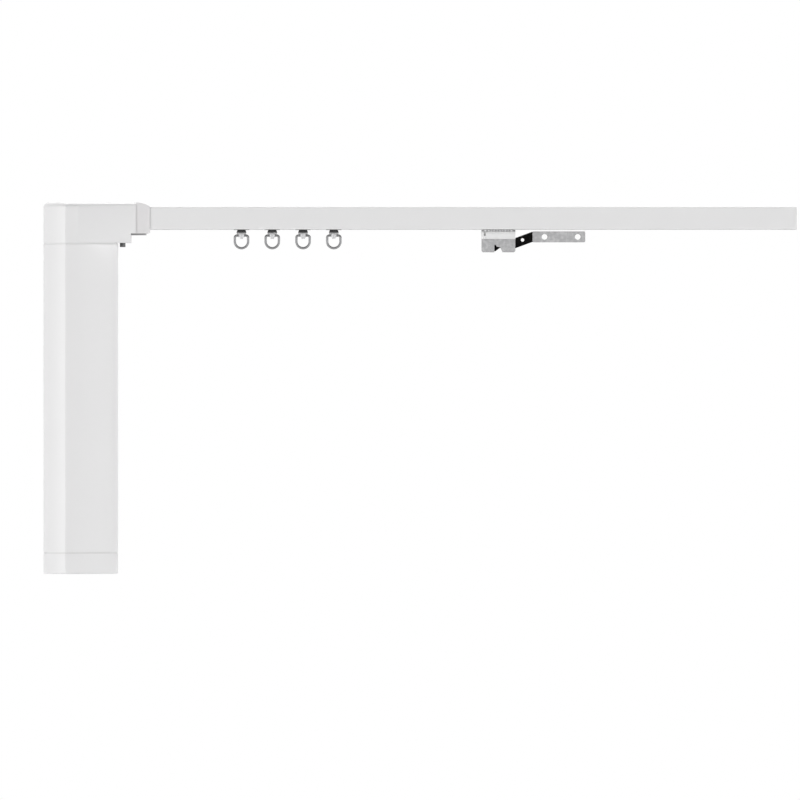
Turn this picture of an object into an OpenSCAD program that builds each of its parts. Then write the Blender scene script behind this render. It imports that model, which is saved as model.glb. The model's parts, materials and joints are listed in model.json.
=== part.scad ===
// Electric curtain track: motor, drive head, rail, belt, carriage and gliders.
// X runs along the rail, -Y is the front, Z is up.
// The origin is the middle of the exposed rail, on its top face.

/* [Rail] */
// Length of rail between the socket and the end cap
rail_len = 460; // [440:10:3000]
// Width of the rail
rail_w = 33; // [32.6:0.1:36]
// Height of the rail
rail_h = 16; // [15.8:0.1:18]
// Wall of the rail
rail_wall = 1.5; // [1.2:0.1:1.6]
// Radius of the rail's long edges
rail_edge = 1; // [0.5:0.1:1.4]
// Width of the slot that the runners hang through
slot_w = 8; // [7.8:0.1:8.6]
// Width of the bracket channel's mouth
channel_mouth = 10; // [8:0.5:12]
// Inner width of the bracket channel
channel_w = 17; // [14:0.5:20]
// Inner height of the bracket channel
channel_h = 2.6; // [2:0.1:2.8]
// Lip over the bracket channel
channel_lip = 1.2; // [1:0.1:1.4]
// Web between the bracket channel and the runner space
channel_web = 1.2; // [1:0.1:1.4]
// Thickness of the end cap
end_cap_t = 2; // [1.5:0.1:4]

/* [Drive head] */
// Height of the head above the rail
head_rise = 3.2; // [2.6:0.1:5]
// Depth of the head below the rail
head_drop = 9.5; // [9.2:0.1:14]
// Wall of the head
head_wall = 2; // [1.6:0.1:2.4]
// Thickness of the head's roof
head_roof = 2.4; // [1.6:0.1:2.6]
// Radius of the head's top edge
head_edge = 3; // [1:0.1:3.2]
// Width of the neck that leads to the rail
neck_w = 39; // [38.6:0.1:40]
// Length of the neck past the motor tube
neck_len = 12.8; // [12:0.1:20]
// Setback of the neck's lower step
neck_step = 3.5; // [2:0.1:5]
// Length of the rail socket
socket_len = 9.8; // [9:0.1:16]
// Width of the rail socket at the head
socket_w = 37.8; // [36.4:0.1:38.4]
// Floor of the rail socket
socket_floor = 2.9; // [2.4:0.1:4]
// Radius of the rail socket's lower edge
socket_edge = 2.2; // [1:0.1:2.4]
// Thickness of the rail socket's lip at its mouth
socket_lip = 0.5; // [0.4:0.1:0.8]
// Length of rail inside the socket and head
rail_in = 18; // [17:0.5:19]
// Thickness of the lock plate
lock_t = 1.1; // [0.8:0.1:1.6]
// Thickness of the head's base plate
base_t = 2.5; // [2.2:0.1:3]
// Radius of the release button
button_r = 2; // [1.6:0.1:2.2]
// Height of the release button below the head
button_out = 3; // [2.6:0.1:5]

/* [Motor casing] */
// Width of the motor along the rail
motor_w = 53.5; // [52:0.5:60]
// Depth of the motor across its creases
motor_d = 44; // [43:0.5:50]
// Distance of the crease from the motor's left end
crease_x = 16.1; // [15:0.1:18]
// Half width of the motor's blunt left end
blunt_half = 6; // [4:0.5:8]
// Radius of the bulging left facets
facet_r = 60; // [45:1:120]
// Radius of the blunt left end
blunt_r = 30; // [27:1:60]
// Radius of the motor's round right end
nose_r = 11; // [9:0.5:12]
// Angle at which the right facets fall back from the crease
front_fall = 12; // [10:0.5:14]
// Distance of the motor axis from the left end
axis_x = 21.7; // [21:0.1:23]
// Wall of the motor tube
tube_wall = 2; // [1.6:0.1:2.2]
// Length of the motor tube
tube_len = 220; // [200:1:300]
// Height of the bottom cap
cap_h = 14.5; // [12:0.5:24]
// Thickness of the bottom cap's floor
cap_floor = 2.5; // [2:0.1:4]
// Radius of the bottom cap's lower edge
cap_edge = 1; // [0.5:0.1:1.4]
// Height of the gasket in each seam
seam_t = 1; // [0.6:0.1:1.5]
// Depth of each gasket's line behind the casing
seam_in = 0.4; // [0.2:0.1:0.8]
// Length of the spigots that locate the tube
spigot_h = 8; // [6:0.5:12]
// Wall of the spigots
spigot_t = 1.8; // [1.4:0.1:2.2]

/* [Belt drive] */
// Pitch of the belt's teeth
belt_pitch = 5; // [5]
// Number of teeth on each pulley
pulley_teeth = 14; // [13:1:14]
// Width of the belt
belt_w = 5; // [4:0.1:5.4]
// Thickness of the belt's back outside the pitch line
belt_back = 0.8; // [0.6:0.1:1]
// Thickness of the belt inside the pitch line
belt_land = 0.5; // [0.4:0.1:0.7]
// Height of the belt's teeth
belt_tooth = 1.2; // [0.8:0.1:1.3]
// Thickness of the pulley flanges
flange_t = 0.6; // [0.5:0.1:0.7]
// Radius of the drive pulley's lower hub
hub_r = 7; // [6.6:0.1:7.6]
// Radius of the drive pulley's upper journal
journal_r = 3.5; // [3:0.1:4]
// Thickness of the bearing rings
bearing_t = 4; // [3.6:0.1:4.4]
// Height of the bearings
bearing_h = 4; // [3:0.1:4.4]
// Width of the hexagon drive across its flats
hex_w = 9; // [8:0.1:9.4]
// Radius of the return pulley's axle
idler_axle_r = 2; // [1.5:0.1:2.5]
// Length of the return block
return_len = 34; // [33:0.5:50]

/* [Gearmotor] */
// Module of the gears
gear_m = 0.6; // [0.58:0.01:0.61]
// Pressure angle of the gears
gear_angle = 25; // [25]
// Teeth of the sun gear
sun_teeth = 12; // [12]
// Teeth of each planet gear
planet_teeth = 18; // [18]
// Height of the gears
gear_h = 12; // [10:0.5:14]
// Thinning of the teeth for play
tooth_thin = 0.14; // [0.12:0.01:0.18]
// Radius of the planet pins
pin_r = 1.5; // [1.2:0.1:2]
// Radius of the output shaft
shaft_r = 4; // [3.5:0.1:4.1]
// Radius of the motor can and the gearbox
can_r = 16.25; // [16:0.05:16.5]
// Length of the motor can
can_len = 54; // [50:1:70]
// Wall of the motor can
can_wall = 1.5; // [1:0.1:2]
// Radius of the rotor core
core_r = 9; // [8:0.1:9.6]
// Length of the rotor core
core_len = 30; // [24:1:36]
// Radius of the rotor shaft
rotor_shaft_r = 1.6; // [1.4:0.1:2]
// Thickness of the motor mount
mount_t = 4; // [3:0.5:6]
// Height of the rubber damper
damper_h = 8; // [6:0.5:12]

/* [Electronics] */
// Width of the control board
board_w = 24; // [20:0.5:25]
// Height of the control board
board_h = 110; // [90:1:112]
// Thickness of the control board
board_t = 1.6; // [1.2:0.1:2]
// Length of the power inlet
inlet_w = 16; // [15:0.5:17]
// Width of the power inlet
inlet_d = 9; // [8.6:0.1:10]
// Depth of the power inlet's recess
inlet_deep = 9; // [8:0.5:10]
// Wall of the power inlet
inlet_wall = 1.2; // [1:0.1:1.3]
// Radius of the inlet's pins
inlet_pin_r = 1.1; // [0.9:0.1:1.2]
// Distance between the inlet's pins
inlet_pin_gap = 8.6; // [8.4:0.1:9]

/* [Runners] */
// Radius of the wheels
wheel_r = 3.9; // [3.6:0.1:4]
// Width of the wheels
wheel_w = 2.6; // [2:0.1:2.8]
// Radius of the wheel axles
axle_r = 1; // [0.8:0.05:1.1]
// Half width of the runner bodies above the slot
runner_half = 4.1; // [4:0.1:4.2]
// Gap between a runner's neck and each side of the slot
neck_gap = 0.5; // [0.3:0.1:0.7]
// Distance of the first glider from the socket
glider_first = 65.5; // [65:0.5:80]
// Distance between gliders
glider_pitch = 22; // [20:0.5:26]
// Length of a glider's truck
truck_len = 13; // [11:0.5:15]
// Height of a glider's flange under the rail
flange_h = 1.9; // [1.5:0.1:2.2]
// Lower radius of a glider's flange
flange_r = 3.6; // [3.2:0.1:3.9]
// Radius of a glider's swivel pin
swivel_r = 1.2; // [1:0.1:1.3]
// Radius of a glider's stem
stem_r = 2.1; // [1.9:0.1:2.4]
// Height of a glider's stem
stem_h = 3.2; // [3:0.1:4]
// Radius of the ring's wire
wire_r = 0.85; // [0.7:0.05:0.9]
// Outer width of a ring
ring_w = 11.2; // [10.6:0.1:12]
// Outer height of a ring
ring_h = 10.7; // [10.2:0.1:14]
// Bend radius of a ring's shoulders
shoulder_r = 1.5; // [1.2:0.1:2]

/* [Carriage] */
// Distance of the carriage's middle from the socket
carriage_at = 249.1; // [245:0.1:260]
// Length of the carriage
carriage_len = 24.2; // [24:0.1:30]
// Distance between the carriage's axles
axle_gap = 15; // [14.6:0.1:16]
// Thickness of the glide strip
strip_t = 1.1; // [0.8:0.1:1.6]
// Width of the glide strip
strip_w = 13; // [11:0.5:14]
// Number of slots in the glide strip
strip_slots = 9; // [5:2:11]
// Height of the white saddle
saddle_h = 5.4; // [5:0.1:7]
// Width of the white saddle
saddle_d = 16.4; // [14:0.1:18]
// Thickness of the arm's sheet steel
sheet_t = 1.5; // [1:0.1:1.8]
// Height of the hook plate below the saddle
hook_h = 9.5; // [8.6:0.1:12]
// Radius of the hook plate's lower corners
hook_edge = 1.5; // [0.5:0.1:2]
// Width of the hook plate's notch at its mouth
notch_w = 5.7; // [5:0.1:6.4]
// Height of the hook plate's notch
notch_h = 5.4; // [4.8:0.1:6]
// Length of the crank along the rail
crank_len = 12.2; // [10:0.1:14]
// Rise of the crank
crank_rise = 4.3; // [3:0.1:4.4]
// Step of the crank to the front
crank_step = 6; // [4:0.1:8]
// Height of the crank
crank_h = 7.3; // [6:0.1:8]
// Radius of the crank's hole
crank_hole_r = 1.2; // [0.8:0.1:1.4]
// Length of the strap
strap_len = 37.7; // [36:0.1:60]
// Height of the strap
strap_h = 7.8; // [7:0.1:9]
// Radius of the strap's mounting holes
strap_hole_r = 2; // [1.5:0.1:2.2]
// Distance of the first strap hole from the strap's start
strap_hole_at = 8.6; // [6:0.1:10]
// Distance between the strap holes
strap_hole_gap = 23.7; // [20:0.1:24]
// Overlap of the crank's tab behind the strap
tab_len = 5; // [3:0.1:5.4]

/* [Screws] */
// Radius of the screws' shanks
screw_r = 1.2; // [1:0.05:1.3]
// Radius of the screws' heads
screw_head_r = 2.2; // [2:0.1:2.4]
// Height of the screws' heads
screw_head_h = 1.1; // [0.8:0.1:1.4]

/* [Clearances] */
// Gap between fixed pieces that fit together
fit = 0.1; // [0.05:0.01:0.15]
// Radial gap of pins and shafts that turn
run = 0.05; // [0.02:0.01:0.08]
// Gap between pieces that pass each other
air = 0.3; // [0.2:0.05:0.35]

/* [Hidden] */
$fn = 72;
fine = 240;
coarse = 120;
eps = 0.01;
flank_steps = 4;
glider_count = 4;
planet_count = 3;
board_capacitors = 2;

// Places along the rail
x_mouth = -rail_len / 2;
x_end = rail_len / 2;
x_head = x_mouth - socket_len;
x_step = x_head - neck_step;
x_tube = x_head - neck_len - motor_w;
x_axis = x_tube + axis_x;
x_rail = x_mouth - rail_in;
x_carriage = x_mouth + carriage_at;

// Heights
z_track = -rail_h + rail_wall;
z_roof = -(channel_lip + channel_h + channel_web);
z_belt = (z_track + z_roof) / 2;
z_head = -rail_h - head_drop;
z_neck = -rail_h - socket_floor;
z_tube = z_head - seam_t;
z_tube_low = z_tube - tube_len;
z_cap = z_tube_low - seam_t;
z_foot = z_cap - cap_h;
z_wheel = z_track + fit + wheel_r;
z_under = -rail_h - air;

// Belt and pulleys
pulley_r = belt_pitch * pulley_teeth / (2 * PI);
belt_out = pulley_r + belt_back;
belt_in = pulley_r - belt_land;
pulley_tip = belt_in - air;
pulley_root = pulley_tip - belt_tooth;
pulley_h = belt_w + 2 * air;
flange_over = 0.6;
flange_out = belt_out + flange_over;
pocket_r = flange_out + air;
return_wall = 4;
return_screw = 6;
x_idler = x_end - return_wall - pocket_r;
belt_run = x_idler - x_axis;
belt_root_share = 0.5;
belt_tip_share = 0.36;
belt_step = 7.5;
pulley_root_share = 0.48;
pulley_tip_share = 0.36;
belt_teeth = floor(belt_run / belt_pitch) - 1;
z_pulley = z_belt - pulley_h / 2 - flange_t;
z_pulley_top = z_belt + pulley_h / 2 + flange_t;

// Bearings, hub and coupling of the drive pulley
bearing_gap = 1.5;
z_upper_bearing = z_pulley_top + bearing_gap;
upper_bearing_r = journal_r + bearing_t;
z_lower_bearing = z_pulley - bearing_gap - bearing_h;
lower_bearing_r = hub_r + bearing_t;
seat_wall = 2.2;
boss_r = lower_bearing_r + run / 2 + seat_wall;
hub_below = 1.5;
hub_gap = 1.6;
z_hub = z_lower_bearing - hub_below;
hex_deep = z_pulley - z_hub;
hex_r = hex_w / 2 / cos(30);
shaft_gap = 3;
z_shaft = z_hub - shaft_gap;
sleeve_h = 8;
sleeve_wall = 2.2;
sleeve_r = shaft_r + sleeve_wall;
sleeve_end = 1;

// Release button and the bridge that its spring pushes against
button_rim = 1.2;
button_rim_h = 1;
x_button = x_head - neck_len + button_r + button_rim;
z_button_rim = z_head + base_t + fit;
z_spring = z_button_rim + button_rim_h;
spring_over = 0.4;
spring_wire = 0.6;
bridge_drop = 1.4;
bridge_t = 1.2;
bridge_left = 2.6;
bridge_right = 1.2;
z_bridge = -rail_h - bridge_drop;

// Screws: each base screw has its place and the way from its post to the wall
post_r = 2.2;
post_h = 6;
post_rib = 2;
post_reach = 6;
post_angle = 161;
post_at = boss_r + post_r + air;
neck_post = [x_head - neck_len - 3, neck_w / 2 - 5];
base_screws = [
    [x_axis + post_at * cos(post_angle), post_at * sin(post_angle), 180],
    [x_axis + post_at * cos(post_angle), -post_at * sin(post_angle), 180],
    [neck_post.x, neck_post.y, 90],
    [neck_post.x, -neck_post.y, -90]
];
lock_half = 13;
lock_edge = 1.2;
x_lock = x_head + 7.2;
x_lock_screw = x_head + 3.6;
lock_screw_y = [-8, 8];
end_screw_in = 3.4;
end_screw_y = [end_screw_in - rail_w / 2, rail_w / 2 - end_screw_in];
saddle_screw_x = [-6, 6];
screw_sink = 0.4;
screw_bite = 2;

// Gears, all turning about the motor axis or round it
ring_teeth = sun_teeth + 2 * planet_teeth;
planet_orbit = gear_m * (sun_teeth + planet_teeth) / 2;
z_mount = z_tube - spigot_h - mount_t;
carrier_t = 3.5;
carrier_rim = 2;
z_carrier = z_mount - air - carrier_t;
z_gears = z_carrier - air - gear_h;
gear_gap = 4;
z_can = z_gears - gear_gap;
z_can_low = z_can - can_len;
z_core = z_can - (can_len + core_len) / 2;
damper_up = 5;
magnet_air = 0.6;
magnet_in = core_r + magnet_air;
magnet_gap = 14;
magnet_over = 1;

// Control board and inlet
board_lift = 2;
z_board = z_foot + cap_floor + board_lift;
x_board = x_axis - board_w / 2;
y_board = -2;
board_slot = 8;
board_post = [5, 8];
board_grip = 3;
x_inlet = x_axis;
y_inlet = 7;
inlet_flange = 1.4;
inlet_pin_in = 2;

// Carriage and arm, from the strip under the rail downwards
z_strip = z_under - strip_t;
z_saddle = z_strip - saddle_h;
z_hook = z_saddle - hook_h;
saddle_lip = 1.2;
hook_in = 2.2;
y_hook = -saddle_d / 2 + saddle_lip;
x_plate_end = x_carriage + carriage_len / 2;
crank_up = 3;
root_cover = 0.8;
z_crank = z_hook + crank_up;
x_strap = x_plate_end + crank_len;
y_strap = y_hook - crank_step;
z_strap = z_crank + crank_rise - (strap_h - crank_h) / 2;

// Bodies of the runners in the rail
axle_wall = 1.8;
neck_in = 1;

// Gliders, from the flange under the rail downwards
flange_fall = 0.7;
z_flange = z_under - flange_h;
z_stem = z_flange - fit;
eye_drop = 1.25;
z_eye = z_flange - eye_drop - wire_r;
ring_half = ring_w / 2 - wire_r;
z_ring = z_eye - ring_h + 2 * wire_r + ring_half;
pin_head_h = 0.9;
pin_head_over = 0.8;
pin_head_up = 0.9;
pin_head_r = swivel_r + pin_head_over;
z_pin_head = z_track + pin_head_up;
nib_h = 1.2;
nib_in = 0.9;

// Arcs of the motor's outline, seen from above and measured from its left end
crease = [crease_x, -motor_d / 2];
blunt = [0, -blunt_half];
facet_half = norm(crease - blunt) / 2;
facet_way = (crease - blunt) / (2 * facet_half);
facet_deep = sqrt(facet_r * facet_r - facet_half * facet_half);
facet_c = (crease + blunt) / 2 + facet_deep * [-facet_way.y, facet_way.x];
nose_x = motor_w - nose_r;
nose_gap = crease_x - nose_x;
front_sum = nose_gap * nose_gap + motor_d * motor_d / 4 - nose_r * nose_r;
front_r = front_sum / (2 * nose_gap * sin(front_fall) + motor_d * cos(front_fall) - 2 * nose_r);
front_c = crease + front_r * [-sin(front_fall), cos(front_fall)];
nose_way = ([nose_x, 0] - front_c) / norm([nose_x, 0] - front_c);

// Place of a glider along the rail
function glider_x(k) = x_mouth + glider_first + (k - 1) * glider_pitch;

// A point at a radius and an angle
function polar(r, a) = [r * cos(a), r * sin(a)];

// Gear sizes and the half angle of an involute tooth at a radius
function pitch_r(z) = gear_m * z / 2;
function base_r(z) = pitch_r(z) * cos(gear_angle);
function involute(a) = tan(a) * 180 / PI - a;
function tooth_half(z, r, thin) =
    90 / z - thin * 90 / (PI * pitch_r(z)) + involute(gear_angle)
    - involute(acos(min(1, base_r(z) / r)));

// Radii at which a tooth's flank has points
function flank(z, low, high) =
    let (start = max(low, base_r(z)))
    concat(
        low < start ? [low] : [],
        [for (i = [0 : flank_steps]) start + (high - start) * i / flank_steps]
    );

// Outline of one tooth at an angle, up one flank and down the other
function tooth(z, radii, thin, at) =
    concat(
        [for (r = radii) polar(r, at - tooth_half(z, r, thin))],
        [for (i = [len(radii) - 1 : -1 : 0]) polar(radii[i], at + tooth_half(z, radii[i], thin))]
    );

// Outline of a gear with a tooth at the angle turn
module gear_outline(z, low, high, thin, turn) {
    radii = flank(z, low, high);
    polygon([for (i = [0 : z - 1]) each tooth(z, radii, thin, turn + i * 360 / z)]);
}

module outer_gear(z, turn) {
    gear_outline(z, pitch_r(z) - 1.25 * gear_m, pitch_r(z) + gear_m, tooth_thin, turn);
}

module ring_gear_hole() {
    z = ring_teeth;
    gear_outline(z, pitch_r(z) - 0.9 * gear_m, pitch_r(z) + 1.25 * gear_m, -tooth_thin, 180 / z);
}

// Places its children on the motor axis
module on_axis() {
    translate([x_axis, 0, 0]) children();
}

// Extrudes an outline in Y and Z along X
module along_x(x, length) {
    translate([x, 0, 0]) rotate([90, 0, 90]) linear_extrude(length) children();
}

// Extrudes an outline in X and Z from a front face backwards
module along_y(front, depth) {
    translate([0, front + depth, 0]) rotate([90, 0, 0]) linear_extrude(depth) children();
}

// Extrudes an outline in X and Y from one height up to another
module between(low, high) {
    translate([0, 0, low]) linear_extrude(high - low) children();
}

// Box given by its low and high corners
module box(low, high) {
    translate(low) cube(high - low);
}

// Rectangle with round corners, given by its low and high corners
module round_rect(low, high, r) {
    size = high - low;
    translate(low + [r, 0]) square([size.x - 2 * r, size.y]);
    translate(low + [0, r]) square([size.x, size.y - 2 * r]);
    for (x = [low.x + r, high.x - r], y = [low.y + r, high.y - r]) translate([x, y]) circle(r);
}

// Screw that points up, with the underside of its head at the origin
module screw(length) {
    cylinder(r = screw_r, h = length);
    translate([0, 0, -screw_head_h]) cylinder(r = screw_head_r, h = screw_head_h);
}

// Countersunk screw that points up, with the face of its head at the origin
module flat_screw(length) {
    cylinder(r = screw_r, h = length);
    cylinder(r1 = screw_head_r, r2 = screw_r, h = lock_t);
}

// Radius of an arc that falls by a drop over the rail socket's length
function socket_arc(drop) = (socket_len * socket_len + drop * drop) / (2 * drop);

// Motor outline seen from above, moved in from the casing's outside
module motor_outline(inset, detail = fine) {
    right = nose_x + (nose_r - inset) * nose_way.x;
    translate([x_tube, 0]) intersection() {
        translate(facet_c) circle(facet_r - inset, $fn = detail);
        mirror([0, 1]) translate(facet_c) circle(facet_r - inset, $fn = detail);
        translate([blunt_r, 0]) circle(blunt_r - inset, $fn = detail);
        union() {
            intersection() {
                translate(front_c) circle(front_r - inset, $fn = 2 * detail);
                mirror([0, 1]) translate(front_c) circle(front_r - inset, $fn = 2 * detail);
                translate([right - 2 * motor_w, -motor_d]) square([2 * motor_w, 2 * motor_d]);
            }
            translate([nose_x, 0]) circle(nose_r - inset, $fn = detail);
        }
    }
}

// Neck outline seen from above, from the motor axis to a right end
module neck_outline(right, inset) {
    translate([x_axis, -neck_w / 2 + inset]) square([right - inset - x_axis, neck_w - 2 * inset]);
}

// Ring that follows the motor's outline
module motor_ring(outer, inner) {
    difference() {
        motor_outline(outer);
        motor_outline(inner);
    }
}

// Slices of a rounded top edge, each a pair of inset and height
function edge_slices(r) = [for (a = [0, 30, 60, 90]) [r * (1 - cos(a)), r * sin(a)]];

module rail() {
    half = rail_w / 2;
    inner = half - rail_wall;
    color("white") along_x(x_rail, rail_len + rail_in) difference() {
        round_rect([-half, -rail_h], [half, 0], rail_edge);
        translate([-inner, z_track]) square([2 * inner, z_roof - z_track]);
        translate([-slot_w / 2, -rail_h - 1]) square([slot_w, rail_wall + 2]);
        translate([-channel_w / 2, -channel_lip - channel_h]) square([channel_w, channel_h]);
        translate([-channel_mouth / 2, -channel_lip - 1]) square([channel_mouth, channel_lip + 2]);
    }
}

module rail_end_cap() {
    half = rail_w / 2;
    color("white") difference() {
        along_x(x_end, end_cap_t) round_rect([-half, -rail_h], [half, 0], rail_edge);
        for (y = end_screw_y) translate([x_end - 1, y, z_belt]) rotate([0, 90, 0]) {
            cylinder(r = screw_r + run, h = end_cap_t + 2);
            translate([0, 0, 1 + end_cap_t - screw_head_h])
                cylinder(r = screw_head_r + fit, h = screw_head_h + 1);
        }
    }
}

module return_block() {
    half = rail_w / 2 - rail_wall - fit;
    low = z_track + fit;
    high = z_roof - fit;
    color("dimgray") difference() {
        box([x_end - return_len, -half, low], [x_end, half, high]);
        between(z_pulley - air, z_pulley_top + air) {
            translate([x_idler, 0]) circle(pocket_r);
            translate([x_idler - return_len, -pocket_r]) square([return_len, 2 * pocket_r]);
        }
        translate([x_idler, 0, low - 1]) cylinder(r = idler_axle_r + run / 2, h = high - low + 2);
        for (y = end_screw_y) translate([x_end - return_screw - 1, y, z_belt]) rotate([0, 90, 0])
            cylinder(r = screw_r + run, h = return_screw + 2);
    }
}

module idler_axle() {
    low = z_track + fit;
    high = z_roof - fit;
    color("silver") translate([x_idler, 0, low]) cylinder(r = idler_axle_r, h = high - low);
}

// Loop round both pulleys at a distance from their axes
module belt_loop(r) {
    translate([x_axis, 0]) circle(r);
    translate([x_idler, 0]) circle(r);
    translate([x_axis, -r]) square([belt_run, 2 * r]);
}

// Inside of the belt, with teeth on both straight runs and a half turn at each end
module belt_inside() {
    tip = belt_in - belt_tooth;
    wide = belt_pitch * belt_root_share / 2;
    narrow = belt_pitch * belt_tip_share / 2;
    start = x_axis + belt_pitch;
    row = [
        for (i = [0 : belt_teeth - 1]) let (x = start + i * belt_pitch) each [
            [x - wide, belt_in],
            [x - narrow, tip],
            [x + narrow, tip],
            [x + wide, belt_in]
        ]
    ];
    polygon(concat(
        [for (p = row) [p.x, -p.y]],
        [for (a = [-90 : belt_step : 90]) [x_idler, 0] + polar(belt_in, a)],
        [for (i = [len(row) - 1 : -1 : 0]) row[i]],
        [for (a = [90 : belt_step : 270]) [x_axis, 0] + polar(belt_in, a)]
    ));
}

module drive_belt() {
    color("#202020") between(z_belt - belt_w / 2, z_belt + belt_w / 2) difference() {
        belt_loop(belt_out);
        belt_inside();
    }
}

// Toothed wheel with two flanges that the belt runs on, about its own axis
module pulley_rim() {
    step = 360 / pulley_teeth;
    between(z_pulley, z_pulley_top) polygon([
        for (i = [0 : pulley_teeth - 1]) each [
            polar(pulley_root, (i - pulley_root_share / 2) * step),
            polar(pulley_tip, (i - pulley_tip_share / 2) * step),
            polar(pulley_tip, (i + pulley_tip_share / 2) * step),
            polar(pulley_root, (i + pulley_root_share / 2) * step)
        ]
    ]);
    for (z = [z_pulley, z_pulley_top - flange_t]) translate([0, 0, z])
        cylinder(r = flange_out, h = flange_t);
}

module idler_pulley() {
    color("gainsboro") translate([x_idler, 0, 0]) difference() {
        pulley_rim();
        translate([0, 0, z_pulley - 1]) cylinder(r = idler_axle_r + run, h = z_pulley_top - z_pulley + 2);
    }
}

module head_housing() {
    top = head_rise;
    inner_top = head_rise - head_roof;
    color("white") difference() {
        union() {
            between(z_head, top - head_edge) motor_outline(0);
            between(z_neck, top - head_edge) neck_outline(x_head, 0);
            between(z_head, z_neck + eps) neck_outline(x_step, 0);
            hull() for (s = edge_slices(head_edge)) translate([0, 0, top - head_edge])
                between(s[1] - eps, s[1]) motor_outline(s[0], coarse);
            hull() for (s = edge_slices(head_edge)) translate([0, 0, top - head_edge])
                between(s[1] - eps, s[1]) neck_outline(x_head + s[0], s[0]);
        }
        difference() {
            union() {
                between(z_head - 1, inner_top) motor_outline(head_wall);
                between(z_head - 1, inner_top) neck_outline(x_step, head_wall);
            }
            on_axis() translate([0, 0, z_upper_bearing])
                cylinder(r = upper_bearing_r + seat_wall, h = head_rise - z_upper_bearing);
            for (p = base_screws) translate([p.x, p.y, z_head + base_t]) {
                cylinder(r = post_r, h = post_h);
                rotate(p.z) translate([0, -post_rib / 2, 0]) cube([post_reach, post_rib, post_h]);
            }
            box(
                [x_button - bridge_left, -neck_w / 2, z_bridge],
                [x_button + bridge_right, neck_w / 2, z_bridge + bridge_t]
            );
        }
        box([x_rail - fit, -rail_w / 2 - fit, -rail_h - fit], [x_head + 1, rail_w / 2 + fit, fit]);
        on_axis() translate([0, 0, z_upper_bearing - 1])
            cylinder(r = upper_bearing_r + run / 2, h = bearing_h + 1);
        for (p = base_screws) translate([p.x, p.y, z_head])
            cylinder(r = screw_r + run, h = base_t + post_h - screw_sink);
    }
}

module head_base() {
    color("lightgray") difference() {
        union() {
            between(z_head, z_head + base_t) {
                motor_outline(head_wall + fit);
                neck_outline(x_step, head_wall + fit);
            }
            on_axis() translate([0, 0, z_head])
                cylinder(r = boss_r, h = z_lower_bearing + bearing_h - z_head);
            between(z_tube - spigot_h, z_head) motor_ring(tube_wall + fit, tube_wall + fit + spigot_t);
        }
        on_axis() translate([0, 0, z_lower_bearing]) cylinder(r = boss_r - seat_wall, h = bearing_h + 1);
        on_axis() translate([0, 0, z_head - 1])
            cylinder(r = hub_r + hub_gap, h = z_lower_bearing - z_head + 2);
        translate([x_button, 0, z_head - 1]) cylinder(r = button_r + run, h = base_t + 2);
        for (p = base_screws) translate([p.x, p.y, z_head]) {
            translate([0, 0, -1]) cylinder(r = screw_r + run, h = base_t + 2);
            translate([0, 0, -1]) cylinder(r = screw_head_r + fit, h = screw_head_h + 1);
        }
    }
}

module rail_socket() {
    half = socket_w / 2;
    r = socket_edge;
    over = socket_arc(head_rise - fit - socket_lip);
    beside = socket_arc(half - rail_w / 2 - fit - socket_lip);
    color("whitesmoke") difference() {
        intersection() {
            along_y(-half, socket_w) intersection() {
                union() {
                    translate([x_head, z_neck]) square([socket_len - r, head_rise - z_neck]);
                    translate([x_head, z_neck + r]) square([socket_len, head_rise - z_neck - r]);
                    translate([x_mouth - r, z_neck + r]) circle(r);
                }
                translate([x_head, head_rise - over]) circle(over, $fn = fine);
            }
            between(z_neck - 1, head_rise + 1) intersection() {
                translate([x_head, beside - half]) circle(beside, $fn = fine);
                translate([x_head, half - beside]) circle(beside, $fn = fine);
                translate([x_head, -half]) square([socket_len, socket_w]);
            }
        }
        box([x_head - 1, -rail_w / 2 - fit, -rail_h - fit], [x_mouth + 1, rail_w / 2 + fit, fit]);
        for (y = lock_screw_y) translate([x_lock_screw, y, z_neck - 1])
            cylinder(r = screw_r + run, h = socket_floor + 2);
    }
}

module rail_lock_plate() {
    color("#303030") difference() {
        between(z_neck - lock_t, z_neck)
            round_rect([x_step + fit, -lock_half], [x_lock, lock_half], lock_edge);
        for (y = lock_screw_y) translate([x_lock_screw, y, z_neck - lock_t]) {
            translate([0, 0, -1]) cylinder(r = screw_head_r + fit, h = 1 + eps);
            cylinder(r1 = screw_head_r + fit, r2 = screw_r + fit, h = lock_t);
            cylinder(r = screw_r + fit, h = lock_t + 1);
        }
    }
}

module case_screws() {
    color("gray") {
        for (p = base_screws) translate([p.x, p.y, z_head + screw_head_h])
            screw(base_t + post_h - screw_head_h - 2 * screw_sink);
        for (y = lock_screw_y) translate([x_lock_screw, y, z_neck - lock_t])
            flat_screw(lock_t + socket_floor - screw_sink);
        for (y = end_screw_y) translate([x_end + end_cap_t - screw_head_h, y, z_belt]) rotate([0, -90, 0])
            screw(return_screw);
    }
}

module upper_bearing() {
    color("silver") on_axis() translate([0, 0, z_upper_bearing]) difference() {
        cylinder(r = upper_bearing_r, h = bearing_h);
        translate([0, 0, -1]) cylinder(r = journal_r + run, h = bearing_h + 2);
    }
}

module lower_bearing() {
    color("silver") on_axis() translate([0, 0, z_lower_bearing]) difference() {
        cylinder(r = lower_bearing_r, h = bearing_h);
        translate([0, 0, -1]) cylinder(r = hub_r + run, h = bearing_h + 2);
    }
}

module drive_pulley() {
    color("gainsboro") on_axis() difference() {
        union() {
            pulley_rim();
            translate([0, 0, z_pulley_top - eps])
                cylinder(r = journal_r, h = bearing_gap + bearing_h - air);
            translate([0, 0, z_hub]) cylinder(r = hub_r, h = hex_deep + eps);
        }
        translate([0, 0, z_hub - 1]) cylinder(r = hex_r + fit, h = hex_deep + 1, $fn = 6);
    }
}

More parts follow.
